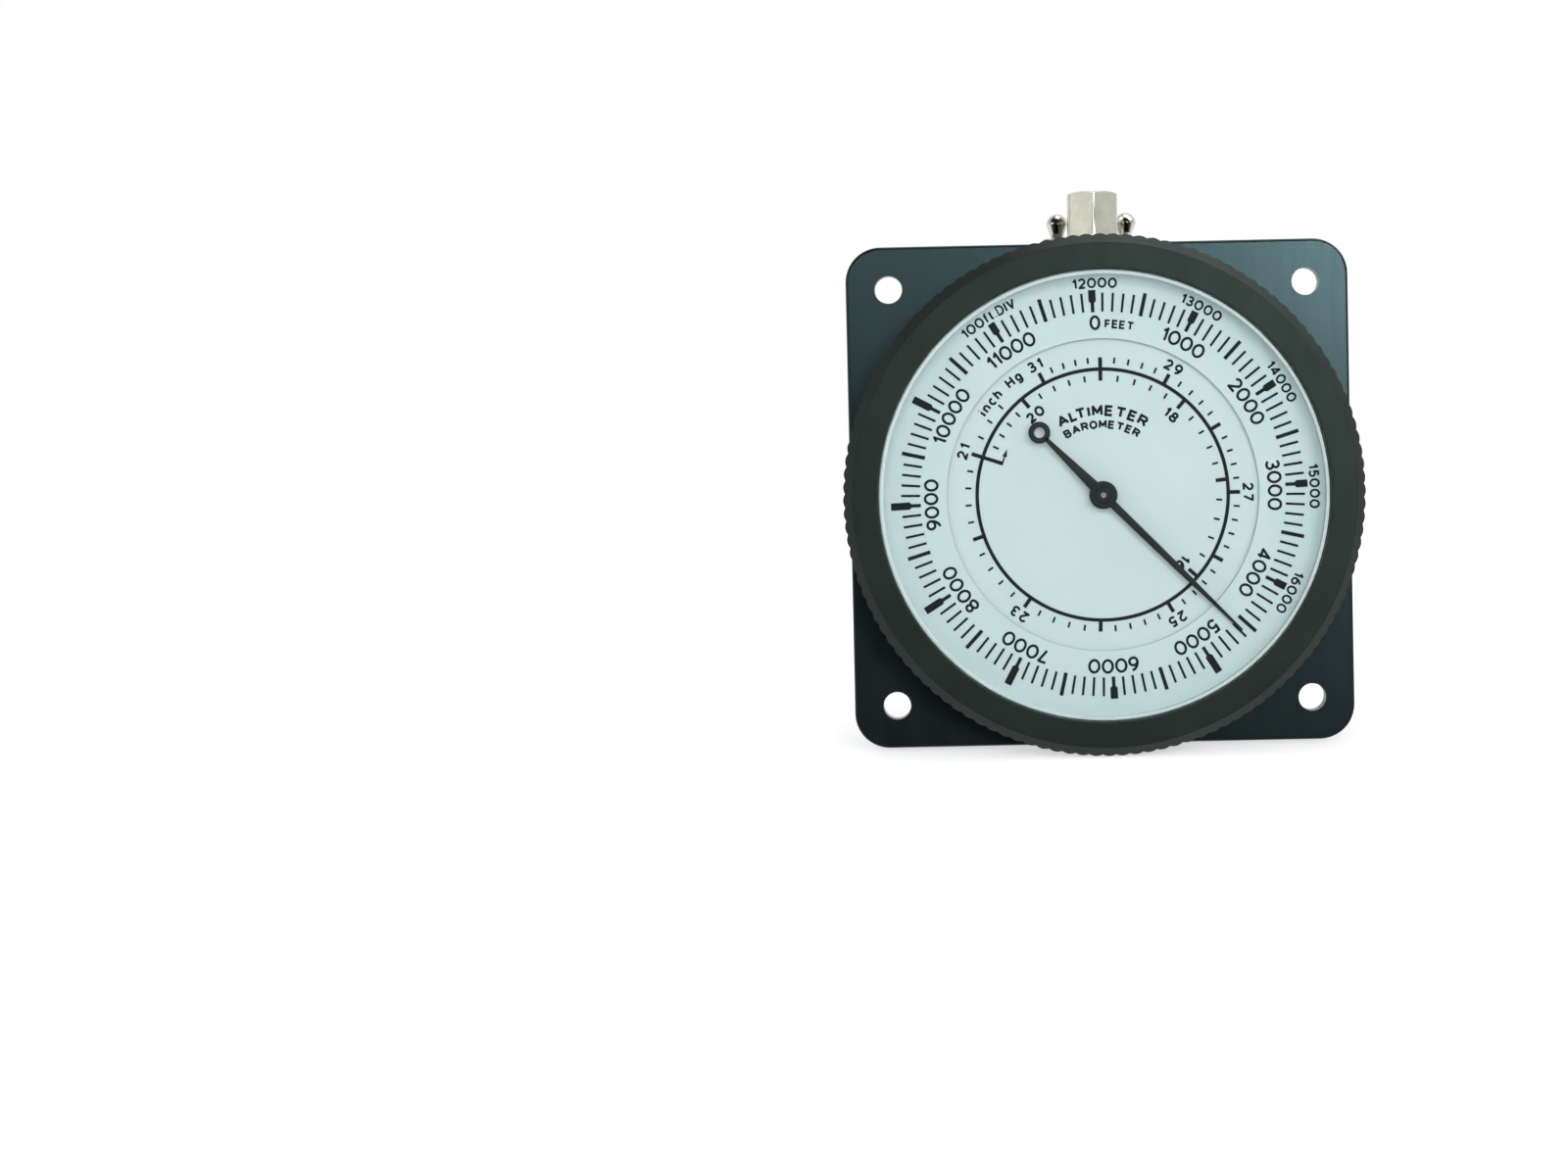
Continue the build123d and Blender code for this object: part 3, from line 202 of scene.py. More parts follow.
# what each finish looks like: streaks, clouds, pebbles, grain and depths are in mm
finish = {
    "caseEnamel": makeStovedEnamel("stovedBlackEnamel", {
        "dark": "#090a0a", "pale": "#0e1010", "sheen": "#c4f6ff", "rough": (0.275, 0.315),
        "streak": 1.6, "streakPull": 0.08, "cloudSize": 14, "pebble": 0.9, "pebbleDepth": 0.006}),
    "bezelEnamel": makeStovedEnamel("satinBlackAnodised", {
        "dark": "#111615", "pale": "#161c1a", "sheen": "#9db3a8", "rough": (0.41, 0.47),
        "streak": 2.4, "streakPull": 0.08, "cloudSize": 9, "pebble": 0.5, "pebbleDepth": 0.003}),
    "nickel": makeBrushedPlating("nickelPlatedBrass", {
        "dark": "#d3d3c6", "pale": "#e4e4da", "rough": (0.30, 0.38), "grain": (1, 1, 0.25),
        "scratch": 0.5, "cloud": 2.5, "depth": 0.0006}),
    "brightScrew": makeBrushedPlating("chromedSteel", {
        "dark": "#c9c8bd", "pale": "#dcdbd2", "rough": (0.08, 0.14), "grain": (1, 1, 1),
        "scratch": 0.6, "cloud": 3, "depth": 0.001}),
    "dialWhite": makeSprayedDial("sprayedDialWhite", {
        "dark": "#bcc9ca", "pale": "#c3cfcf", "rough": 0.62, "gloss": 0.3,
        "grain": 0.25, "cloud": 12, "depth": 0.002}),
    "ringWhite": makeSprayedDial("sprayedRingWhite", {
        "dark": "#b9c9ca", "pale": "#c2cfd0", "rough": 0.62, "gloss": 0.3,
        "grain": 0.25, "cloud": 12, "depth": 0.002}),
    "ink": makePlainCoat("blackPrintingInk", {
        "dark": "#050a09", "pale": "#0a1211", "rough": (0.7, 0.8), "cloud": 4, "grain": 0.2,
        "depth": 0.001}),
    "pointerBlack": makePlainCoat("mattBlackLacquer", {
        "dark": "#0f1514", "pale": "#151d1b", "rough": (0.6, 0.7), "cloud": 3, "grain": 0.2,
        "depth": 0.001}),
    "rubber": makePlainCoat("nitrileRubber", {
        "dark": "#101010", "pale": "#181818", "rough": (0.6, 0.75), "cloud": 2, "grain": 0.3,
        "depth": 0.01}),
    "steel": makeBrushedPlating("turnedSteel", {
        "dark": "#9c9c98", "pale": "#b4b4b0", "rough": (0.2, 0.32), "grain": (1, 0.2, 1),
        "scratch": 0.3, "cloud": 2, "depth": 0.002}),
    "bronze": makeBrushedPlating("phosphorBronze", {
        "dark": "#a9774e", "pale": "#bd8a5e", "rough": (0.25, 0.35), "grain": (1, 1, 1),
        "scratch": 0.4, "cloud": 3, "depth": 0.002}),
    "brass": makeBrushedPlating("lacqueredBrass", {
        "dark": "#b8954f", "pale": "#ccaa63", "rough": (0.2, 0.3), "grain": (1, 0.3, 1),
        "scratch": 0.4, "cloud": 4, "depth": 0.002}),
    "bimetal": makeBrushedPlating("bimetalStrip", {
        "dark": "#a08e7a", "pale": "#b5a48f", "rough": (0.25, 0.35), "grain": (0.2, 1, 1),
        "scratch": 0.3, "cloud": 2, "depth": 0.002}),
    "jewel": makePlainCoat("syntheticRuby", {
        "dark": "#8f1232", "pale": "#b01a40", "rough": (0.05, 0.1), "cloud": 1, "grain": 1,
        "depth": 0.0}),
    "glass": makeClearGlass("polishedGlass", {
        "clear": "#fdffff", "rough": 0.03, "wave": 30, "depth": 0.002}),
    # the edge's near-white diffuse share is a painted highlight line on the bevel
    "glassBevel": makeClearGlass("polishedGlassEdge", {
        "clear": "#f8fefe", "rough": 0.06, "wave": 8, "depth": 0.002,
        "inner": 0.45, "paintedHighlightColour": "#f0fbfd"}),
    "reflectorGrey": makePlainCoat("paleReflectorPaint", {
        "dark": "#acbaba", "pale": "#bac6c6", "rough": (0.5, 0.6), "cloud": 6, "grain": 0.3,
        "depth": 0.001}),
}

# which finish each record slot shows on the pieces that stay as they are
slotFinish = {
    "black_enamel": "caseEnamel", "bezel_black": "bezelEnamel", "nickel": "nickel",
    "bright_screw": "brightScrew", "rubber": "rubber", "glass": "glass", "dial_white": "dialWhite",
    "ink": "ink", "pointer_black": "pointerBlack", "steel": "steel", "spring_bronze": "bronze",
    "brass": "brass", "bimetal": "bimetal", "jewel": "jewel",
}
nodeFinish = {
    "altitude_ring": "ringWhite", "reflector_ring": "reflectorGrey", "pointer_bush": "pointerBlack",
}
for nodeName, node in cadNodes.items():
    for slot in node.material_slots:
        slotName = slot.material.name.split(".")[0]
        slot.material = finish[nodeFinish.get(nodeName, slotFinish[slotName])]
print("finishes given to", len(cadNodes), "pieces")


# Shape helpers

def placePiece(bm, name, body, materialName, replaced=(), sharpDegrees=35):
    # turns a finished bmesh into a piece that rides on its body
    mesh = bpy.data.meshes.new(name)
    bm.to_mesh(mesh)
    bm.free()
    for polygon in mesh.polygons:
        polygon.use_smooth = True
    mesh.set_sharp_from_angle(angle=math.radians(sharpDegrees))
    names = [materialName] if isinstance(materialName, str) else materialName
    for each in names:
        mesh.materials.append(finish[each])
    piece = bpy.data.objects.new(name, mesh)
    bpy.context.scene.collection.objects.link(piece)
    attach(piece, body)
    if replaced:
        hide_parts(*replaced)
    print("made", name, "with", len(mesh.polygons), "faces")


def spinOutline(bm, outline, steps, closed=True):
    # turns an outline of (radius, y) in mm round the dial axis
    points = [bm.verts.new((radius * mm, y * mm, 0)) for radius, y in outline]
    edges = [bm.edges.new(pair) for pair in zip(points, points[1:])]
    if closed:
        edges.append(bm.edges.new((points[-1], points[0])))
    bmesh.ops.spin(bm, geom=points + edges, cent=(0, 0, 0), axis=(0, 1, 0), angle=2 * math.pi,
                   steps=steps, use_merge=True, use_duplicate=False)
    bmesh.ops.remove_doubles(bm, verts=bm.verts, dist=1e-7)
    bmesh.ops.dissolve_degenerate(bm, edges=bm.edges, dist=1e-8)
    bmesh.ops.recalc_face_normals(bm, faces=bm.faces)


def roundedOutline(corners, bend=3, support=2):
    # softens each (radius, y, round) corner of a closed outline with an arc of bend steps
    outline = []
    for i, (x, y, size) in enumerate(corners):
        if not size:
            outline.append((x, y))
            continue
        here = Vector((x, y))
        before = (Vector(corners[i - 1][:2]) - here).normalized()
        after = (Vector(corners[(i + 1) % len(corners)][:2]) - here).normalized()
        half = before.angle(after) / 2
        centre = here + (before + after).normalized() * size / math.sin(half)
        reach = size / math.tan(half)
        first, last = here + before * reach - centre, here + after * reach - centre
        # a point just before and after each arc keeps the flats beside it evenly shaded
        outline.append(tuple(here + before * reach * support))
        for k in range(bend + 1):
            swing = first.lerp(last, k / bend).normalized() * size
            outline.append(tuple(centre + swing))
        outline.append(tuple(here + after * reach * support))
    return outline


# Bezel: the coin-edged ring, turned, then its edge rounded into ribs
bezel = {
    "lipRadius": 43.85, "lipRear": -14.2, "front": -16.0, "rear": -3.4, "tip": 50.8,
    "chamfer": 1.95, "rearChamfer": 0.3, "boreRadius": 45.8, "wideBore": 46.6, "shoulder": -7.9,
    "ribs": 120, "valleyDepth": 0.38, "valleyShape": 1.8, "stepsPerRib": 8, "ribStart": 0.4,
    "edgeRound": 0.18,
}


def makeBezel(look):
    soft = look["edgeRound"]
    flat = look["tip"] - look["chamfer"]
    chamferRear = look["front"] + look["chamfer"]
    outline = roundedOutline([
        (look["lipRadius"], look["front"], soft),
        (flat, look["front"], soft),
        (look["tip"], chamferRear, 0),
        (look["tip"], look["rear"] - look["rearChamfer"], 0),
        (look["tip"] - look["rearChamfer"], look["rear"], 0),
        (look["wideBore"], look["rear"], 0),
        (look["wideBore"], look["shoulder"], 0),
        (look["boreRadius"], look["shoulder"], 0),
        (look["boreRadius"], look["lipRear"], 0),
        (look["lipRadius"], look["lipRear"], soft),
    ])
    bm = bmesh.new()
    spinOutline(bm, outline, look["ribs"] * look["stepsPerRib"])
    roundRibs(bm, look, flat + look["ribStart"], chamferRear)
    placePiece(bm, "bezelCoinEdged", "bezel", "bezelEnamel", ("bezel_ring",),
               sharpDegrees=28)


def roundRibs(bm, look, innerRadius, chamferRear, tolerance=0.01):
    pitch = 2 * math.pi / look["ribs"]
    for vert in bm.verts:
        radius = math.hypot(vert.co.x, vert.co.z) / mm
        if radius < innerRadius:
            continue
        phase = math.atan2(vert.co.x, vert.co.z) / pitch
        away = 2 * abs(phase - round(phase))  # 0 on a rib's crest, 1 in a valley
        drop = look["valleyDepth"] * away ** look["valleyShape"]
        wanted = radius - drop
        if abs(vert.co.y / mm - chamferRear) < tolerance:
            vert.co.y -= drop * mm  # the cut meets the front chamfer further forward
        vert.co.x *= wanted / radius
        vert.co.z *= wanted / radius


makeBezel(bezel)

# Crystal: a flat pane with a raised middle, whose edge has a bevel with a painted highlight line
crystal = {
    "rim": 45.7, "rear": -12.2, "flange": -13.8, "raise": 43.6, "front": -15.2,
    "bevelWidth": 0.65, "bevelDepth": 0.3, "steps": 192,
}


def makeCrystal(look):
    bm = bmesh.new()
    bevelInner = look["raise"] - look["bevelWidth"]
    spinOutline(bm, [
        (0, look["rear"]), (look["rim"], look["rear"]), (look["rim"], look["flange"]),
        (look["raise"], look["flange"]), (look["raise"], look["front"] + look["bevelDepth"]),
        (bevelInner, look["front"]), (0, look["front"])], look["steps"], closed=False)
    for face in bm.faces:
        middle = face.calc_center_median() / mm
        radius = math.hypot(middle.x, middle.z)
        if radius > bevelInner and middle.y < look["flange"]:
            face.material_index = 1
    placePiece(bm, "crystalPane", "bezel", ["glass", "glassBevel"], ("crystal",),
               sharpDegrees=20)


makeCrystal(crystal)

# Port fitting: the CAD's hexagon with its upright corners rounded, so that they catch the light
portFitting = {"cornerRound": 0.5, "minTurn": 50, "maxTurn": 70, "flatTurn": 1, "upright": 0.99}


def makePortFitting(look):
    bm = bmesh.new()
    bm.from_mesh(cadNodes["port_fitting"].data)
    bmesh.ops.remove_doubles(bm, verts=bm.verts, dist=1e-6)
    bmesh.ops.dissolve_limit(bm, angle_limit=math.radians(look["flatTurn"]), verts=bm.verts,
                             edges=bm.edges)
    upright = []
    for edge in bm.edges:
        way = (edge.verts[1].co - edge.verts[0].co).normalized()
        turn = math.degrees(edge.calc_face_angle(0)) if edge.is_manifold else 0
        if abs(way.z) > look["upright"] and look["minTurn"] < turn < look["maxTurn"]:
            upright.append(edge)
    bmesh.ops.bevel(bm, geom=upright, offset=look["cornerRound"] * mm, segments=4, profile=0.5,
                    affect="EDGES", material=-1)
    print("rounded", len(upright), "corners of the port")
    placePiece(bm, "portFitting", "case", "nickel", ("port_fitting",), sharpDegrees=12)


makePortFitting(portFitting)

# Pointer: a thin blade with a round hub and a ring on its tail
hand = {
    "bearing": 135.4, "front": -11.3, "rear": -10.9,
    "length": 38.0, "rootWidth": 1.6, "midWidth": 1.25, "midAt": 20, "tipWidth": 0.45,
    "hubRadius": 2.75, "hubBore": 1.45, "hubDome": 0.12, "hubSlope": 0.5, "hubRound": 0.1,
    "hubSteps": 64,
    "tailRing": 17.5, "ringOuter": 2.15, "ringInner": 1.05, "ringSteps": 48,
    "tailRoot": 2.35, "tailEnd": 0.8, "edgeRound": 0.07, "sharpTurn": 0.9,
}


def addBlade(bm, look, stations):
    # a flat bar through (along, width) stations along the upward direction
    made = bmesh.ops.create_grid(bm, x_segments=1, y_segments=len(stations) - 1, size=1)["verts"]
    made.sort(key=lambda v: (round(v.co.y, 4), v.co.x))
    edges = [(along, side * width / 2) for along, width in stations for side in (-1, 1)]
    for vert, (along, across) in zip(made, edges):
        vert.co = Vector((across, look["rear"], along)) * mm
    faces = list({face for vert in made for face in vert.link_faces})
    grown = bmesh.ops.extrude_face_region(bm, geom=faces)["geom"]
    bmesh.ops.translate(bm, verts=[g for g in grown if isinstance(g, bmesh.types.BMVert)],
                        vec=(0, (look["front"] - look["rear"]) * mm, 0))


def makePointer(look):
    bm = bmesh.new()
    addBlade(bm, look, [(0, look["rootWidth"]), (look["midAt"], look["midWidth"]),
                        (look["length"], look["tipWidth"])])
    # the tail ends in the middle of its ring's band
    tailLength = look["tailRing"] - (look["ringOuter"] + look["ringInner"]) / 2
    addBlade(bm, look, [(-tailLength, look["tailEnd"]), (0, look["tailRoot"])])
    bmesh.ops.recalc_face_normals(bm, faces=bm.faces)
    sharp = [e for e in bm.edges if e.is_manifold and e.calc_face_angle(0) > look["sharpTurn"]]
    bmesh.ops.bevel(bm, geom=sharp, offset=look["edgeRound"] * mm, segments=2, profile=0.5,
                    affect="EDGES", material=-1)
    ring = bmesh.new()
    soft = look["edgeRound"]
    spinOutline(ring, roundedOutline([
        (look["ringInner"], look["front"], soft), (look["ringOuter"], look["front"], soft),
        (look["ringOuter"], look["rear"], soft), (look["ringInner"], look["rear"], soft)],
        bend=2), look["ringSteps"])
    bmesh.ops.translate(ring, verts=ring.verts, vec=(0, 0, -look["tailRing"] * mm))
    joinInto(bm, ring)
    hub = bmesh.new()
    domeFront = look["front"] - look["hubDome"]
    spinOutline(hub, roundedOutline([
        (look["hubBore"], domeFront, soft), (look["hubRadius"] - look["hubSlope"], domeFront, soft),
        (look["hubRadius"], look["front"], look["hubRound"]),
        (look["hubRadius"], look["rear"], soft),
        (look["hubBore"], look["rear"], 0)], bend=2), look["hubSteps"])
    joinInto(bm, hub)
    bmesh.ops.rotate(bm, verts=bm.verts, cent=(0, 0, 0),
                     matrix=Matrix.Rotation(math.radians(look["bearing"]), 3, "Y"))
    placePiece(bm, "pointerBlade", "hand", "pointerBlack", ("pointer",),
               sharpDegrees=40)


def joinInto(bm, other):
    mesh = bpy.data.meshes.new("joining")
    other.to_mesh(mesh)
    other.free()
    bm.from_mesh(mesh)
    bpy.data.meshes.remove(mesh)


makePointer(hand)


# Lettering: each character has a width and pen strokes, in heights of a capital letter

def arc(x, y, across, up, start, end, steps=10):
    angles = [math.radians(start + (end - start) * i / steps) for i in range(steps + 1)]
    return [(x + across * math.cos(a), y + up * math.sin(a)) for a in angles]


penStrokes = {
    "0": (0.84, [arc(0.42, 0.5, 0.42, 0.5, 0, 360, 24)]),
    "1": (0.30, [[(0, 0.74), (0.28, 1), (0.28, 0)]]),
    "2": (0.66, [arc(0.33, 0.70, 0.32, 0.30, 165, -32, 12) + [(0, 0), (0.68, 0)]]),
    "3": (0.64, [arc(0.30, 0.755, 0.27, 0.245, 155, -90, 12)
                 + arc(0.30, 0.26, 0.33, 0.26, 88, -158, 14)]),
    "4": (0.74, [[(0.74, 0.27), (0, 0.27), (0.54, 1), (0.54, 0)]]),
    "5": (0.64, [[(0.58, 1), (0.14, 1), (0.07, 0.53)]
                 + arc(0.30, 0.31, 0.33, 0.31, 128, -152, 14)]),
    "6": (0.68, [arc(0.34, 0.31, 0.34, 0.31, 0, 360, 20),
                 arc(0.66, 0.31, 0.66, 0.72, 101, 180, 8)]),
    "7": (0.64, [[(0, 1), (0.64, 1), (0.22, 0)]]),
    "8": (0.70, [arc(0.35, 0.76, 0.27, 0.24, 0, 360, 20), arc(0.35, 0.26, 0.35, 0.26, 0, 360, 20)]),
    "9": (0.68, [arc(0.34, 0.69, 0.34, 0.31, 0, 360, 20), arc(0.02, 0.69, 0.66, 0.72, -79, 0, 8)]),
    "A": (0.92, [[(0, 0), (0.46, 1), (0.92, 0)], [(0.16, 0.34), (0.76, 0.34)]]),
    "B": (0.72, [[(0, 0), (0, 1), (0.40, 1)]
                 + arc(0.42, 0.76, 0.25, 0.24, 90, -90, 8) + [(0, 0.52)],
                 [(0, 0)] + arc(0.42, 0.26, 0.30, 0.26, -90, 90, 8)]),
    "D": (0.70, [[(0, 0), (0, 1)] + arc(0.3, 0.5, 0.4, 0.5, 90, -90, 12) + [(0, 0)]]),
    "E": (0.66, [[(0.66, 1), (0, 1), (0, 0), (0.66, 0)], [(0, 0.52), (0.6, 0.52)]]),
    "F": (0.62, [[(0.62, 1), (0, 1), (0, 0)], [(0, 0.52), (0.54, 0.52)]]),
    "H": (0.68, [[(0, 0), (0, 1)], [(0.68, 0), (0.68, 1)], [(0, 0.52), (0.68, 0.52)]]),
    "I": (0.0, [[(0, 0), (0, 1)]]),
    "L": (0.56, [[(0, 1), (0, 0), (0.56, 0)]]),
    "M": (0.84, [[(0, 0), (0, 1), (0.42, 0.3), (0.84, 1), (0.84, 0)]]),
    "O": (0.84, [arc(0.42, 0.5, 0.42, 0.5, 0, 360, 24)]),
    "R": (0.76, [[(0, 0), (0, 1), (0.44, 1)] + arc(0.46, 0.75, 0.27, 0.25, 90, -90, 8) + [(0, 0.5)],
                 [(0.42, 0.5), (0.76, 0)]]),
    "T": (0.86, [[(0, 1), (0.86, 1)], [(0.43, 1), (0.43, 0)]]),
    "V": (0.72, [[(0, 1), (0.36, 0), (0.72, 1)]]),
    "c": (0.48, [arc(0.28, 0.34, 0.28, 0.34, 48, 312, 12)]),
    "f": (0.30, [arc(0.31, 0.80, 0.18, 0.2, 80, 180, 6) + [(0.13, 0)], [(0, 0.66), (0.3, 0.66)]]),
    "g": (0.54, [arc(0.27, 0.36, 0.27, 0.32, 0, 360, 18), [(0.54, 0.68), (0.54, -0.02)]
                 + arc(0.27, -0.02, 0.27, 0.24, 0, -150, 8)]),
    "h": (0.50, [[(0, 0), (0, 1)], arc(0.25, 0.42, 0.25, 0.26, 180, 0, 8) + [(0.5, 0)]]),
    "i": (0.0, [[(0, 0), (0, 0.68)], [(0, 0.92), (0, 1.0)]]),
    "n": (0.50, [[(0, 0), (0, 0.68)], arc(0.25, 0.42, 0.25, 0.26, 180, 0, 8) + [(0.5, 0)]]),
    "t": (0.28, [[(0.12, 0.95), (0.12, 0.14), (0.28, 0)], [(0, 0.66), (0.28, 0.66)]]),
    ".": (0.0, [[(0, 0), (0, 0.09)]]),
    " ": (0.32, []),
}
tuckedPairs = {"LT": 0.34, "TI": 0.06, "AL": 0.06, "RO": 0.04}  # pairs set closer than the even gap


def splitAtCorners(points, turn=35):
    # a stroke is cut where it turns sharply; each run keeps the turns at its two ends
    runs, run, startTurn = [], [points[0]], 0
    for i in range(1, len(points) - 1):
        run.append(points[i])
        into = Vector(points[i]) - Vector(points[i - 1])
        out = Vector(points[i + 1]) - Vector(points[i])
        angle = math.degrees(into.angle(out)) if into.length and out.length else 0
        if angle > turn:
            runs.append((run, startTurn, angle))
            run, startTurn = [points[i]], angle
    run.append(points[-1])
    runs.append((run, startTurn, 0))
    return runs


def cornerReach(turn, steepest=100):
    # how far a run goes past its corner, in half widths, for its outer edge to meet the next one's
    return math.tan(math.radians(turn / 2)) if turn < steepest else 0.0


def addSpline(curve, points, closed):
    spline = curve.splines.new("POLY")
    spline.points.add(len(points) - 1)
    for point, place in zip(spline.points, points):
        point.co = (place.x, place.y, 0, 1)
    spline.use_cyclic_u = closed


def drawStroke(curve, points, half, dotShare=0.03):
    closed = (Vector(points[0]) - Vector(points[-1])).length < 1e-6 and len(points) > 4
    for run, startTurn, endTurn in [(points[:-1], 0, 0)] if closed else splitAtCorners(points):
        run = [Vector(p) for p in run]
        if endTurn and not cornerReach(endTurn):
            # a steep corner is rounded off by a dot of the pen's width, a tiny closed ring
            dot = arc(0, 0, half * dotShare, half * dotShare, 0, 315, 7)
            addSpline(curve, [run[-1] + Vector(p) for p in dot], True)
        if not closed:
            run[0] += (run[0] - run[1]).normalized() * half * cornerReach(startTurn)
            run[-1] += (run[-1] - run[-2]).normalized() * half * cornerReach(endTurn)
        addSpline(curve, run, closed)


def drawWord(curve, text, at, radius, height, stroke, gap, squeeze=1.0):
    # radius is at mid-height of the letters; clock angles run clockwise from the top
    size = height - stroke
    widths = [penStrokes[c][0] * size * squeeze for c in text]
    tucks = [tuckedPairs.get(text[i:i + 2], 0) for i in range(len(text) - 1)]
    gaps = [gap - tuck * size * squeeze for tuck in tucks] + [0]
    along = -(sum(widths) + sum(gaps)) / 2
    for letter, width, after in zip(text, widths, gaps):
        angle = math.radians(at) + (along + width / 2) / radius
        tangent = Vector((math.cos(angle), -math.sin(angle)))
        outward = Vector((math.sin(angle), math.cos(angle)))
        for line in penStrokes[letter][1]:
            placed = [(outward * (radius + (v - 0.5) * size)
                       + tangent * (u * size * squeeze - width / 2)) * mm for u, v in line]
            drawStroke(curve, [tuple(p) for p in placed], stroke * mm / 2)
        along += width + after


def makeLettering(name, body, words, faceY, thickness=0.07):
    # words of one stroke width share a curve, which becomes a flat mesh on the dial's face
    bm = bmesh.new()
    for stroke in sorted({word["stroke"] for word in words}):
        curve = bpy.data.curves.new("penCurve", "CURVE")
        curve.dimensions = "3D"
        curve.bevel_depth = stroke * mm / 2
        curve.bevel_resolution = 1
        curve.use_fill_caps = True
        for word in words:
            if word["stroke"] == stroke:
                drawWord(curve, **word)
        holder = bpy.data.objects.new("penHolder", curve)
        bpy.context.scene.collection.objects.link(holder)
        bpy.context.view_layer.update()
        drawn = holder.evaluated_get(bpy.context.evaluated_depsgraph_get())
        mesh = bpy.data.meshes.new_from_object(drawn)
        mesh.transform(Matrix.Diagonal((1, 1, thickness / (stroke / 2), 1)))
        bm.from_mesh(mesh)
        bpy.data.objects.remove(holder)
        bpy.data.curves.remove(curve)
        bpy.data.meshes.remove(mesh)
    bmesh.ops.rotate(bm, verts=bm.verts, cent=(0, 0, 0),
                     matrix=Matrix.Rotation(math.radians(90), 3, "X"))
    bmesh.ops.translate(bm, verts=bm.verts, vec=(0, faceY * mm, 0))
    bmesh.ops.recalc_face_normals(bm, faces=bm.faces)
    placePiece(bm, name, body, "ink", (), sharpDegrees=60)


# Altitude marks: a bar at each hundred feet, a broader one at each five hundred,
# a block at each thousand
altitudeMarks = {
    "divisions": 120, "perHalf": 5, "perThousand": 10,
    "setting": -2.1, "face": -9.9, "thickness": 0.08,
    "tick": {"inner": 35.9, "outer": 39.6, "width": 0.46},
    "halfTick": {"inner": 35.7, "outer": 40.3, "width": 0.73},
    "block": {"stemInner": 35.8, "stemWidth": 0.68, "shoulder": 37.6, "inner": 38.0, "width": 1.45,
              "outer": 40.15, "longOuter": 41.65},
    "longThousands": (5, 7, 8, 9, 10),
}


def addOutline(bm, points, look, clockAngle):
    # ink with an outline of (across, out) points, turned to its clock angle
    verts = [bm.verts.new((across * mm, look["face"] * mm, out * mm)) for across, out in points]
    grown = bmesh.ops.extrude_face_region(bm, geom=[bm.faces.new(verts)])["geom"]
    lifted = [g for g in grown if isinstance(g, bmesh.types.BMVert)]
    bmesh.ops.translate(bm, verts=lifted, vec=(0, -look["thickness"] * mm, 0))
    bmesh.ops.rotate(bm, verts=verts + lifted, cent=(0, 0, 0),
                     matrix=Matrix.Rotation(math.radians(clockAngle), 3, "Y"))


def barOutline(bar):
    half, inner, outer = bar["width"] / 2, bar["inner"], bar["outer"]
    return [(-half, inner), (-half, outer), (half, outer), (half, inner)]


def blockOutline(block, outer):
    stem, half = block["stemWidth"] / 2, block["width"] / 2
    left = [(-stem, block["stemInner"]), (-stem, block["shoulder"]),
            (-half, block["inner"]), (-half, outer)]
    return left + [(-across, out) for across, out in reversed(left)]


def makeAltitudeMarks(look):
    bm = bmesh.new()
    block = look["block"]
    for i in range(look["divisions"]):
        clockAngle = i * 360 / look["divisions"] + look["setting"]
        if i % look["perThousand"] == 0:
            long = i // look["perThousand"] in look["longThousands"]
            outline = blockOutline(block, block["longOuter"] if long else block["outer"])
        else:
            outline = barOutline(look["halfTick"] if i % look["perHalf"] == 0 else look["tick"])
        addOutline(bm, outline, look, clockAngle)
    bmesh.ops.recalc_face_normals(bm, faces=bm.faces)
    placePiece(bm, "altitudeScale", "bezel", "ink", ("altitude_marks",))


makeAltitudeMarks(altitudeMarks)

# Words: letter sizes in mm, and the clock angle of each word's middle
altitudeWords = {
    "large": {"height": 2.92, "stroke": 0.52, "gap": 0.72, "radius": 33.75, "squeeze": 0.96},
    "small": {"height": 2.08, "stroke": 0.42, "gap": 0.65, "radius": 41.55},
    "thousandsPerTurn": 12, "outerFigures": 5, "setting": -2.1, "smallSetting": -1.2, "face": -9.9,
    # the printer's small shifts, in degrees
    "shift": {1: 1.0, 2: 0.3, 4: 0.3, 6: -0.3, 7: 0.15, 8: -0.3, 10: 0.6, 11: 0.85},
    "zero": {"text": "0", "at": -1.6, "squeeze": 0.82},
    "unit": {"text": "FEET", "at": 6.6, "radius": 33.5, "height": 1.72, "stroke": 0.40,
             "gap": 0.58},
    "division": {"text": "100ft.DIV", "at": -31.9, "radius": 41.5, "height": 2.1, "gap": 0.62},
}
pressureWords = {
    "outer": {"height": 2.20, "stroke": 0.47, "gap": 0.95, "radius": 28.65},
    "inner": {"height": 2.15, "stroke": 0.50, "gap": 0.86, "radius": 20.65},
    "outerLabels": {"31": -26.5, "29": 30.2, "27": 90, "25": 150, "23": 216, "21": 288.4},
    "innerLabels": {"20": 321.3, "18": 41.8, "16": 131.5},
    "unit": {"text": "inch Hg", "at": -44.2, "gap": 0.90},
    "title": {"text": "ALTIMETER", "at": 0.9, "radius": 16.55, "stroke": 0.54, "gap": 0.90,
              "squeeze": 1.15},
    "subtitle": {"text": "BAROMETER", "at": 0.4, "radius": 13.85, "height": 1.7, "stroke": 0.44,
                 "gap": 0.66, "squeeze": 1.12},
    "face": -8.7,
}


def altitudeList(look):
    large, small, count = look["large"], look["small"], look["thousandsPerTurn"]
    turn = 360 / count
    words = []
    for k in range(1, count):
        at = turn * k + look["setting"] + look["shift"].get(k, 0)
        words.append(dict(large, text=str(1000 * k), at=at))
    for k in range(look["outerFigures"]):  # the second turn's figures, outside the first
        words.append(dict(small, text=str(1000 * (count + k)), at=turn * k + look["smallSetting"]))
    return words + [dict(large, **look["zero"]), dict(small, **look["unit"]),
                    dict(small, **look["division"])]


def pressureList(look):
    words = []
    for kind in ("outer", "inner"):
        words += [dict(look[kind], text=text, at=at) for text, at in look[kind + "Labels"].items()]
    return words + [dict(look["outer"], **look[word]) for word in ("unit", "title", "subtitle")]


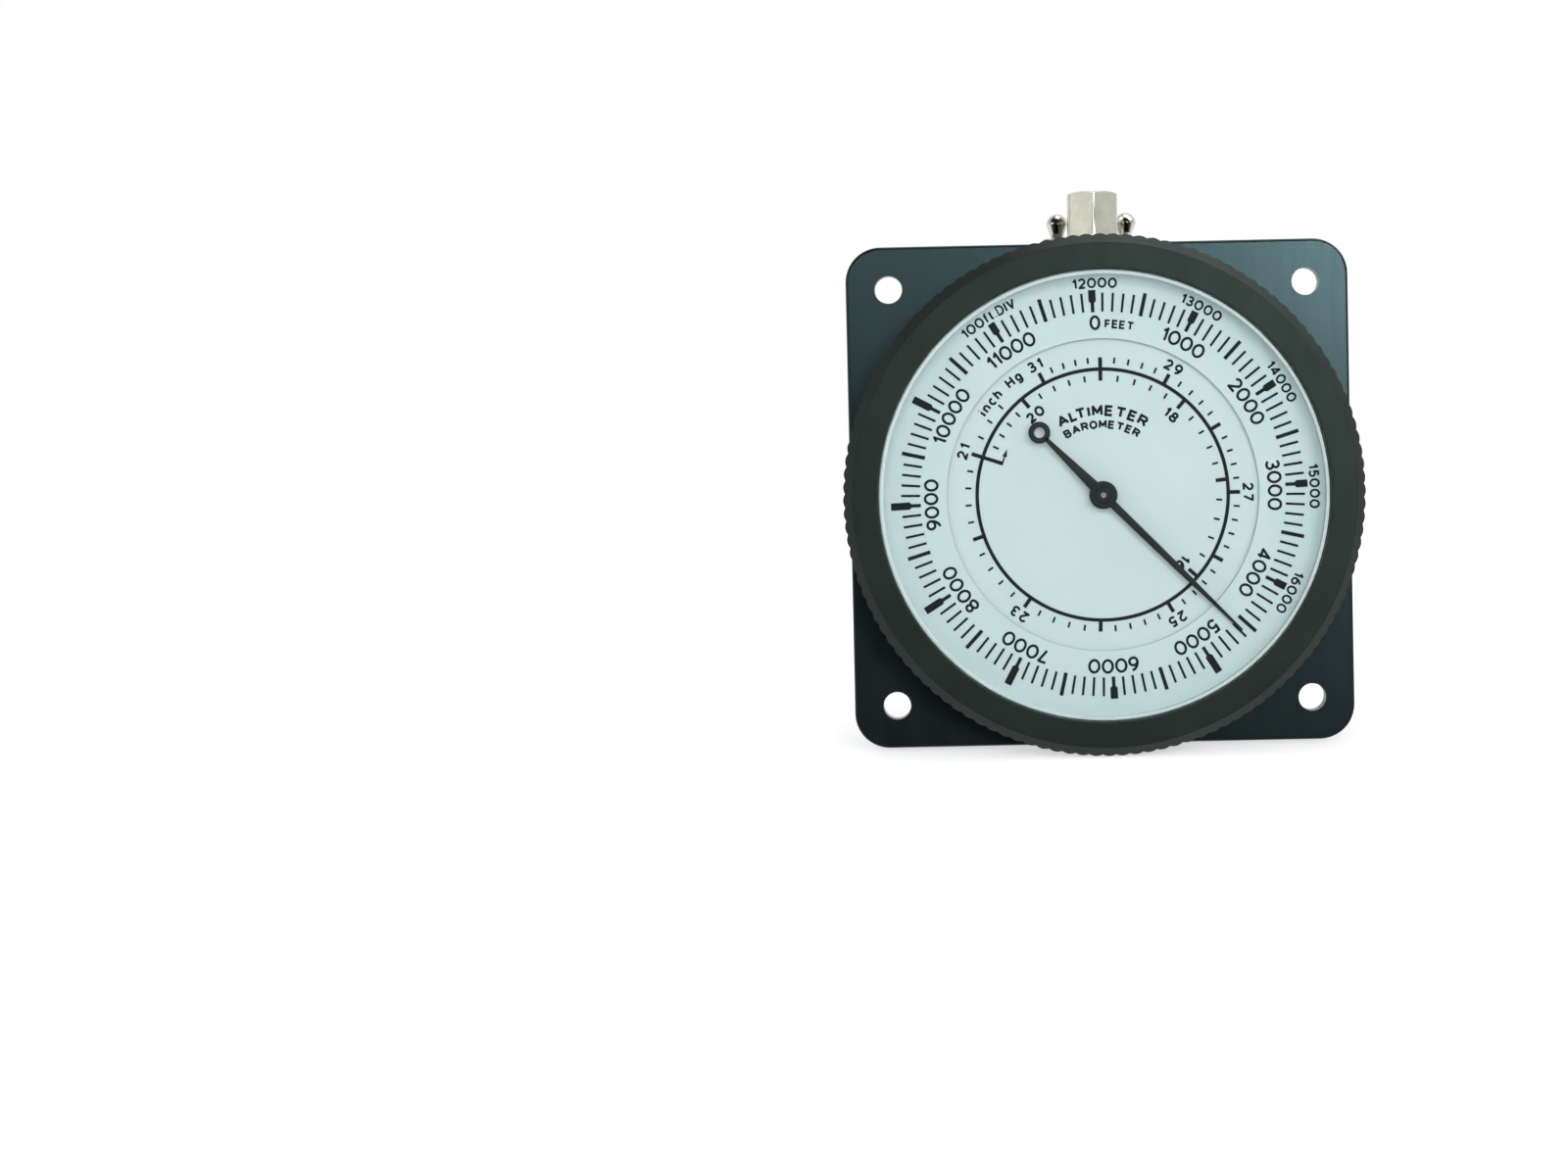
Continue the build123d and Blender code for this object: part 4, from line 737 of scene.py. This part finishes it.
makeLettering("altitudeFigures", "bezel", altitudeList(altitudeWords), altitudeWords["face"])
makeLettering("pressureFigures", "case", pressureList(pressureWords), pressureWords["face"])


# Studio: floor, world and lamps. floorHeight, paperGrain and grainDepth are in mm, and the
# floor's size, the glow's reach and the lamps' places and sizes in metres
studio = {
    "floorHeight": -50.95, "floorSize": 3.0, "floorColour": "#f2f3f3",
    "paperGrain": 0.6, "grainDepth": 0.02, "paperGlow": (0.55, 1.0), "glowReach": (0.08, 0.30),
    "worldLevel": 0.46, "glossLevel": 0.02, "sweepSlope": -0.5, "sweepReach": (-0.62, 0.3),
    "key": {"place": (0.09, -1.16, 0.17),
            "size": (0.9, 0.7), "power": 15.0, "colour": "#ffffff"},
    "sheen": {"place": (0.37, -1.12, 0.22),
              "size": (0.25, 0.25), "power": 4.5, "colour": "#fbfeff"},
    "topSheen": {"place": (0.00, -1.15, 0.22),
                 "size": (0.8, 0.08), "power": 1.6, "colour": "#fbfeff"},
    "overhead": {"place": (0.50, -0.15, 1.10),
                 "size": (0.9, 1.7), "power": 13.0, "colour": "#fbfeff"},
    "leftCard": {"place": (-1.00, -0.65, 0.14),
                 "size": (0.8, 0.8), "power": 2.0, "colour": "#fffff8"},
    "rightCard": {"place": (1.05, -0.55, 0.14),
                  "size": (0.8, 0.8), "power": 0.95, "colour": "#fffff8"},
}


def makeFloor(look):
    mesh = bpy.data.meshes.new("studioFloor")
    bm = bmesh.new()
    bmesh.ops.create_grid(bm, x_segments=1, y_segments=1, size=look["floorSize"])
    bmesh.ops.translate(bm, verts=bm.verts, vec=(0, 0, look["floorHeight"] * mm))
    bm.to_mesh(mesh)
    bm.free()
    floor = bpy.data.objects.new("studioFloor", mesh)
    bpy.context.scene.collection.objects.link(floor)
    # pale paper: lit as paper near the object so its shadow stays, and white further out
    material, tree, place = emptyMaterial("paleBackdropPaper")
    far = addNode(tree, "ShaderNodeVectorMath", {"operation": "LENGTH"}, links={0: place})
    lift = spread(tree, far.outputs["Value"], *look["paperGlow"], *look["glowReach"])
    grain = noiseAt(tree, place, look["paperGrain"])
    normal = bumpFrom(tree, grain.outputs["Fac"], look["grainDepth"])
    paper = addNode(tree, "ShaderNodeBsdfDiffuse", values={"Color": hexColour(look["floorColour"])},
                    links={"Normal": normal})
    glow = addNode(tree, "ShaderNodeEmission", links={"Strength": lift.outputs["Result"]})
    both = addNode(tree, "ShaderNodeAddShader",
                   links={0: paper.outputs["BSDF"], 1: glow.outputs["Emission"]})
    surface = addNode(tree, "ShaderNodeMixShader", links={
        0: seenWhite(tree), 1: paper.outputs["BSDF"], 2: both.outputs["Shader"]})
    addNode(tree, "ShaderNodeOutputMaterial", links={"Surface": surface.outputs["Shader"]})
    mesh.materials.append(material)
    floor.visible_glossy = False  # reflections take the sweep from the world instead


def seenWhite(tree):
    # 1 for rays that look at the background straight, in a reflection or through glass
    path = addNode(tree, "ShaderNodeLightPath")
    total = path.outputs["Is Camera Ray"]
    for name in ("Is Glossy Ray", "Is Transmission Ray"):
        total = addNode(tree, "ShaderNodeMath", {"operation": "MAXIMUM"},
                        links={0: total, 1: path.outputs[name]}).outputs["Value"]
    return total


def makeWorld(look):
    world = bpy.data.worlds.new("paleStudio")
    bpy.context.scene.world = world
    world.use_nodes = True
    tree = world.node_tree
    tree.nodes.clear()
    # the white sweep stands behind and below the object, and the room before it is dark
    direction = addNode(tree, "ShaderNodeTexCoord").outputs["Generated"]
    parts = addNode(tree, "ShaderNodeSeparateXYZ", links={"Vector": direction})
    lower = addNode(tree, "ShaderNodeMath", {"operation": "MULTIPLY_ADD"},
                    values={1: look["sweepSlope"]},
                    links={0: parts.outputs["Z"], 2: parts.outputs["Y"]})
    sweep = spread(tree, lower.outputs["Value"], look["glossLevel"], 1.0, *look["sweepReach"])
    path = addNode(tree, "ShaderNodeLightPath")
    straight = addNode(tree, "ShaderNodeMath", {"operation": "MAXIMUM"}, links={
        0: path.outputs["Is Camera Ray"], 1: path.outputs["Is Transmission Ray"]})
    gloss = addNode(tree, "ShaderNodeMath", {"operation": "MULTIPLY"},
                    links={0: path.outputs["Is Glossy Ray"], 1: sweep.outputs["Result"]})
    plain = addNode(tree, "ShaderNodeMath", {"operation": "MULTIPLY"},
                    values={1: look["worldLevel"]}, links={0: path.outputs["Is Diffuse Ray"]})
    level = addNode(tree, "ShaderNodeMath", {"operation": "MAXIMUM"},
                    links={0: straight.outputs["Value"], 1: gloss.outputs["Value"]})
    level = addNode(tree, "ShaderNodeMath", {"operation": "MAXIMUM"},
                    links={0: level.outputs["Value"], 1: plain.outputs["Value"]})
    sky = addNode(tree, "ShaderNodeBackground", values={"Color": (1, 1, 1, 1)},
                  links={"Strength": level.outputs["Value"]})
    addNode(tree, "ShaderNodeOutputWorld", links={"Surface": sky.outputs["Background"]})


def makeLamp(name, look):
    data = bpy.data.lights.new(name, "AREA")
    data.shape = "RECTANGLE"
    data.size, data.size_y = look["size"]
    data.energy = look["power"]
    data.color = hexColour(look["colour"])[:3]
    lamp = bpy.data.objects.new(name, data)
    bpy.context.scene.collection.objects.link(lamp)
    lamp.location = look["place"]
    lamp.rotation_euler = (-Vector(look["place"])).to_track_quat("-Z", "Y").to_euler()
    return lamp


makeFloor(studio)
makeWorld(studio)
makeLamp("key", studio["key"]).visible_glossy = False
for lampName in ("sheen", "topSheen", "overhead"):
    makeLamp(lampName, studio[lampName]).visible_diffuse = False  # seen only as gloss on the enamel
for lampName in ("leftCard", "rightCard"):
    makeLamp(lampName, studio[lampName])
print("studio ready")

# Camera: seen from just above the dial's height and a little to its left
view = {
    "place": (-26.63, -421.88, 11.59), "pitch": -1.472, "yaw": -0.014, "roll": 1.22,
    "lens": 48.24, "sensor": 36.0, "shiftX": -0.1172, "shiftY": -0.0608, "nearest": 10,
}


def makeCamera(look):
    data = bpy.data.cameras.new("photoCamera")
    data.lens = look["lens"]
    data.sensor_width = look["sensor"]
    data.shift_x = look["shiftX"]
    data.shift_y = look["shiftY"]
    data.clip_start = look["nearest"] * mm
    camera = bpy.data.objects.new("photoCamera", data)
    bpy.context.scene.collection.objects.link(camera)
    turn = (Matrix.Rotation(math.radians(look["yaw"]), 4, "Z")
            @ Matrix.Rotation(math.radians(look["pitch"]), 4, "X")
            @ Matrix.Rotation(math.radians(look["roll"]), 4, "Y")
            @ Matrix.Rotation(math.radians(90), 4, "X"))
    camera.matrix_world = Matrix.Translation(Vector(look["place"]) * mm) @ turn
    bpy.context.scene.camera = camera


makeCamera(view)
print("camera placed")
bpy.context.scene.view_settings.view_transform = "Standard"
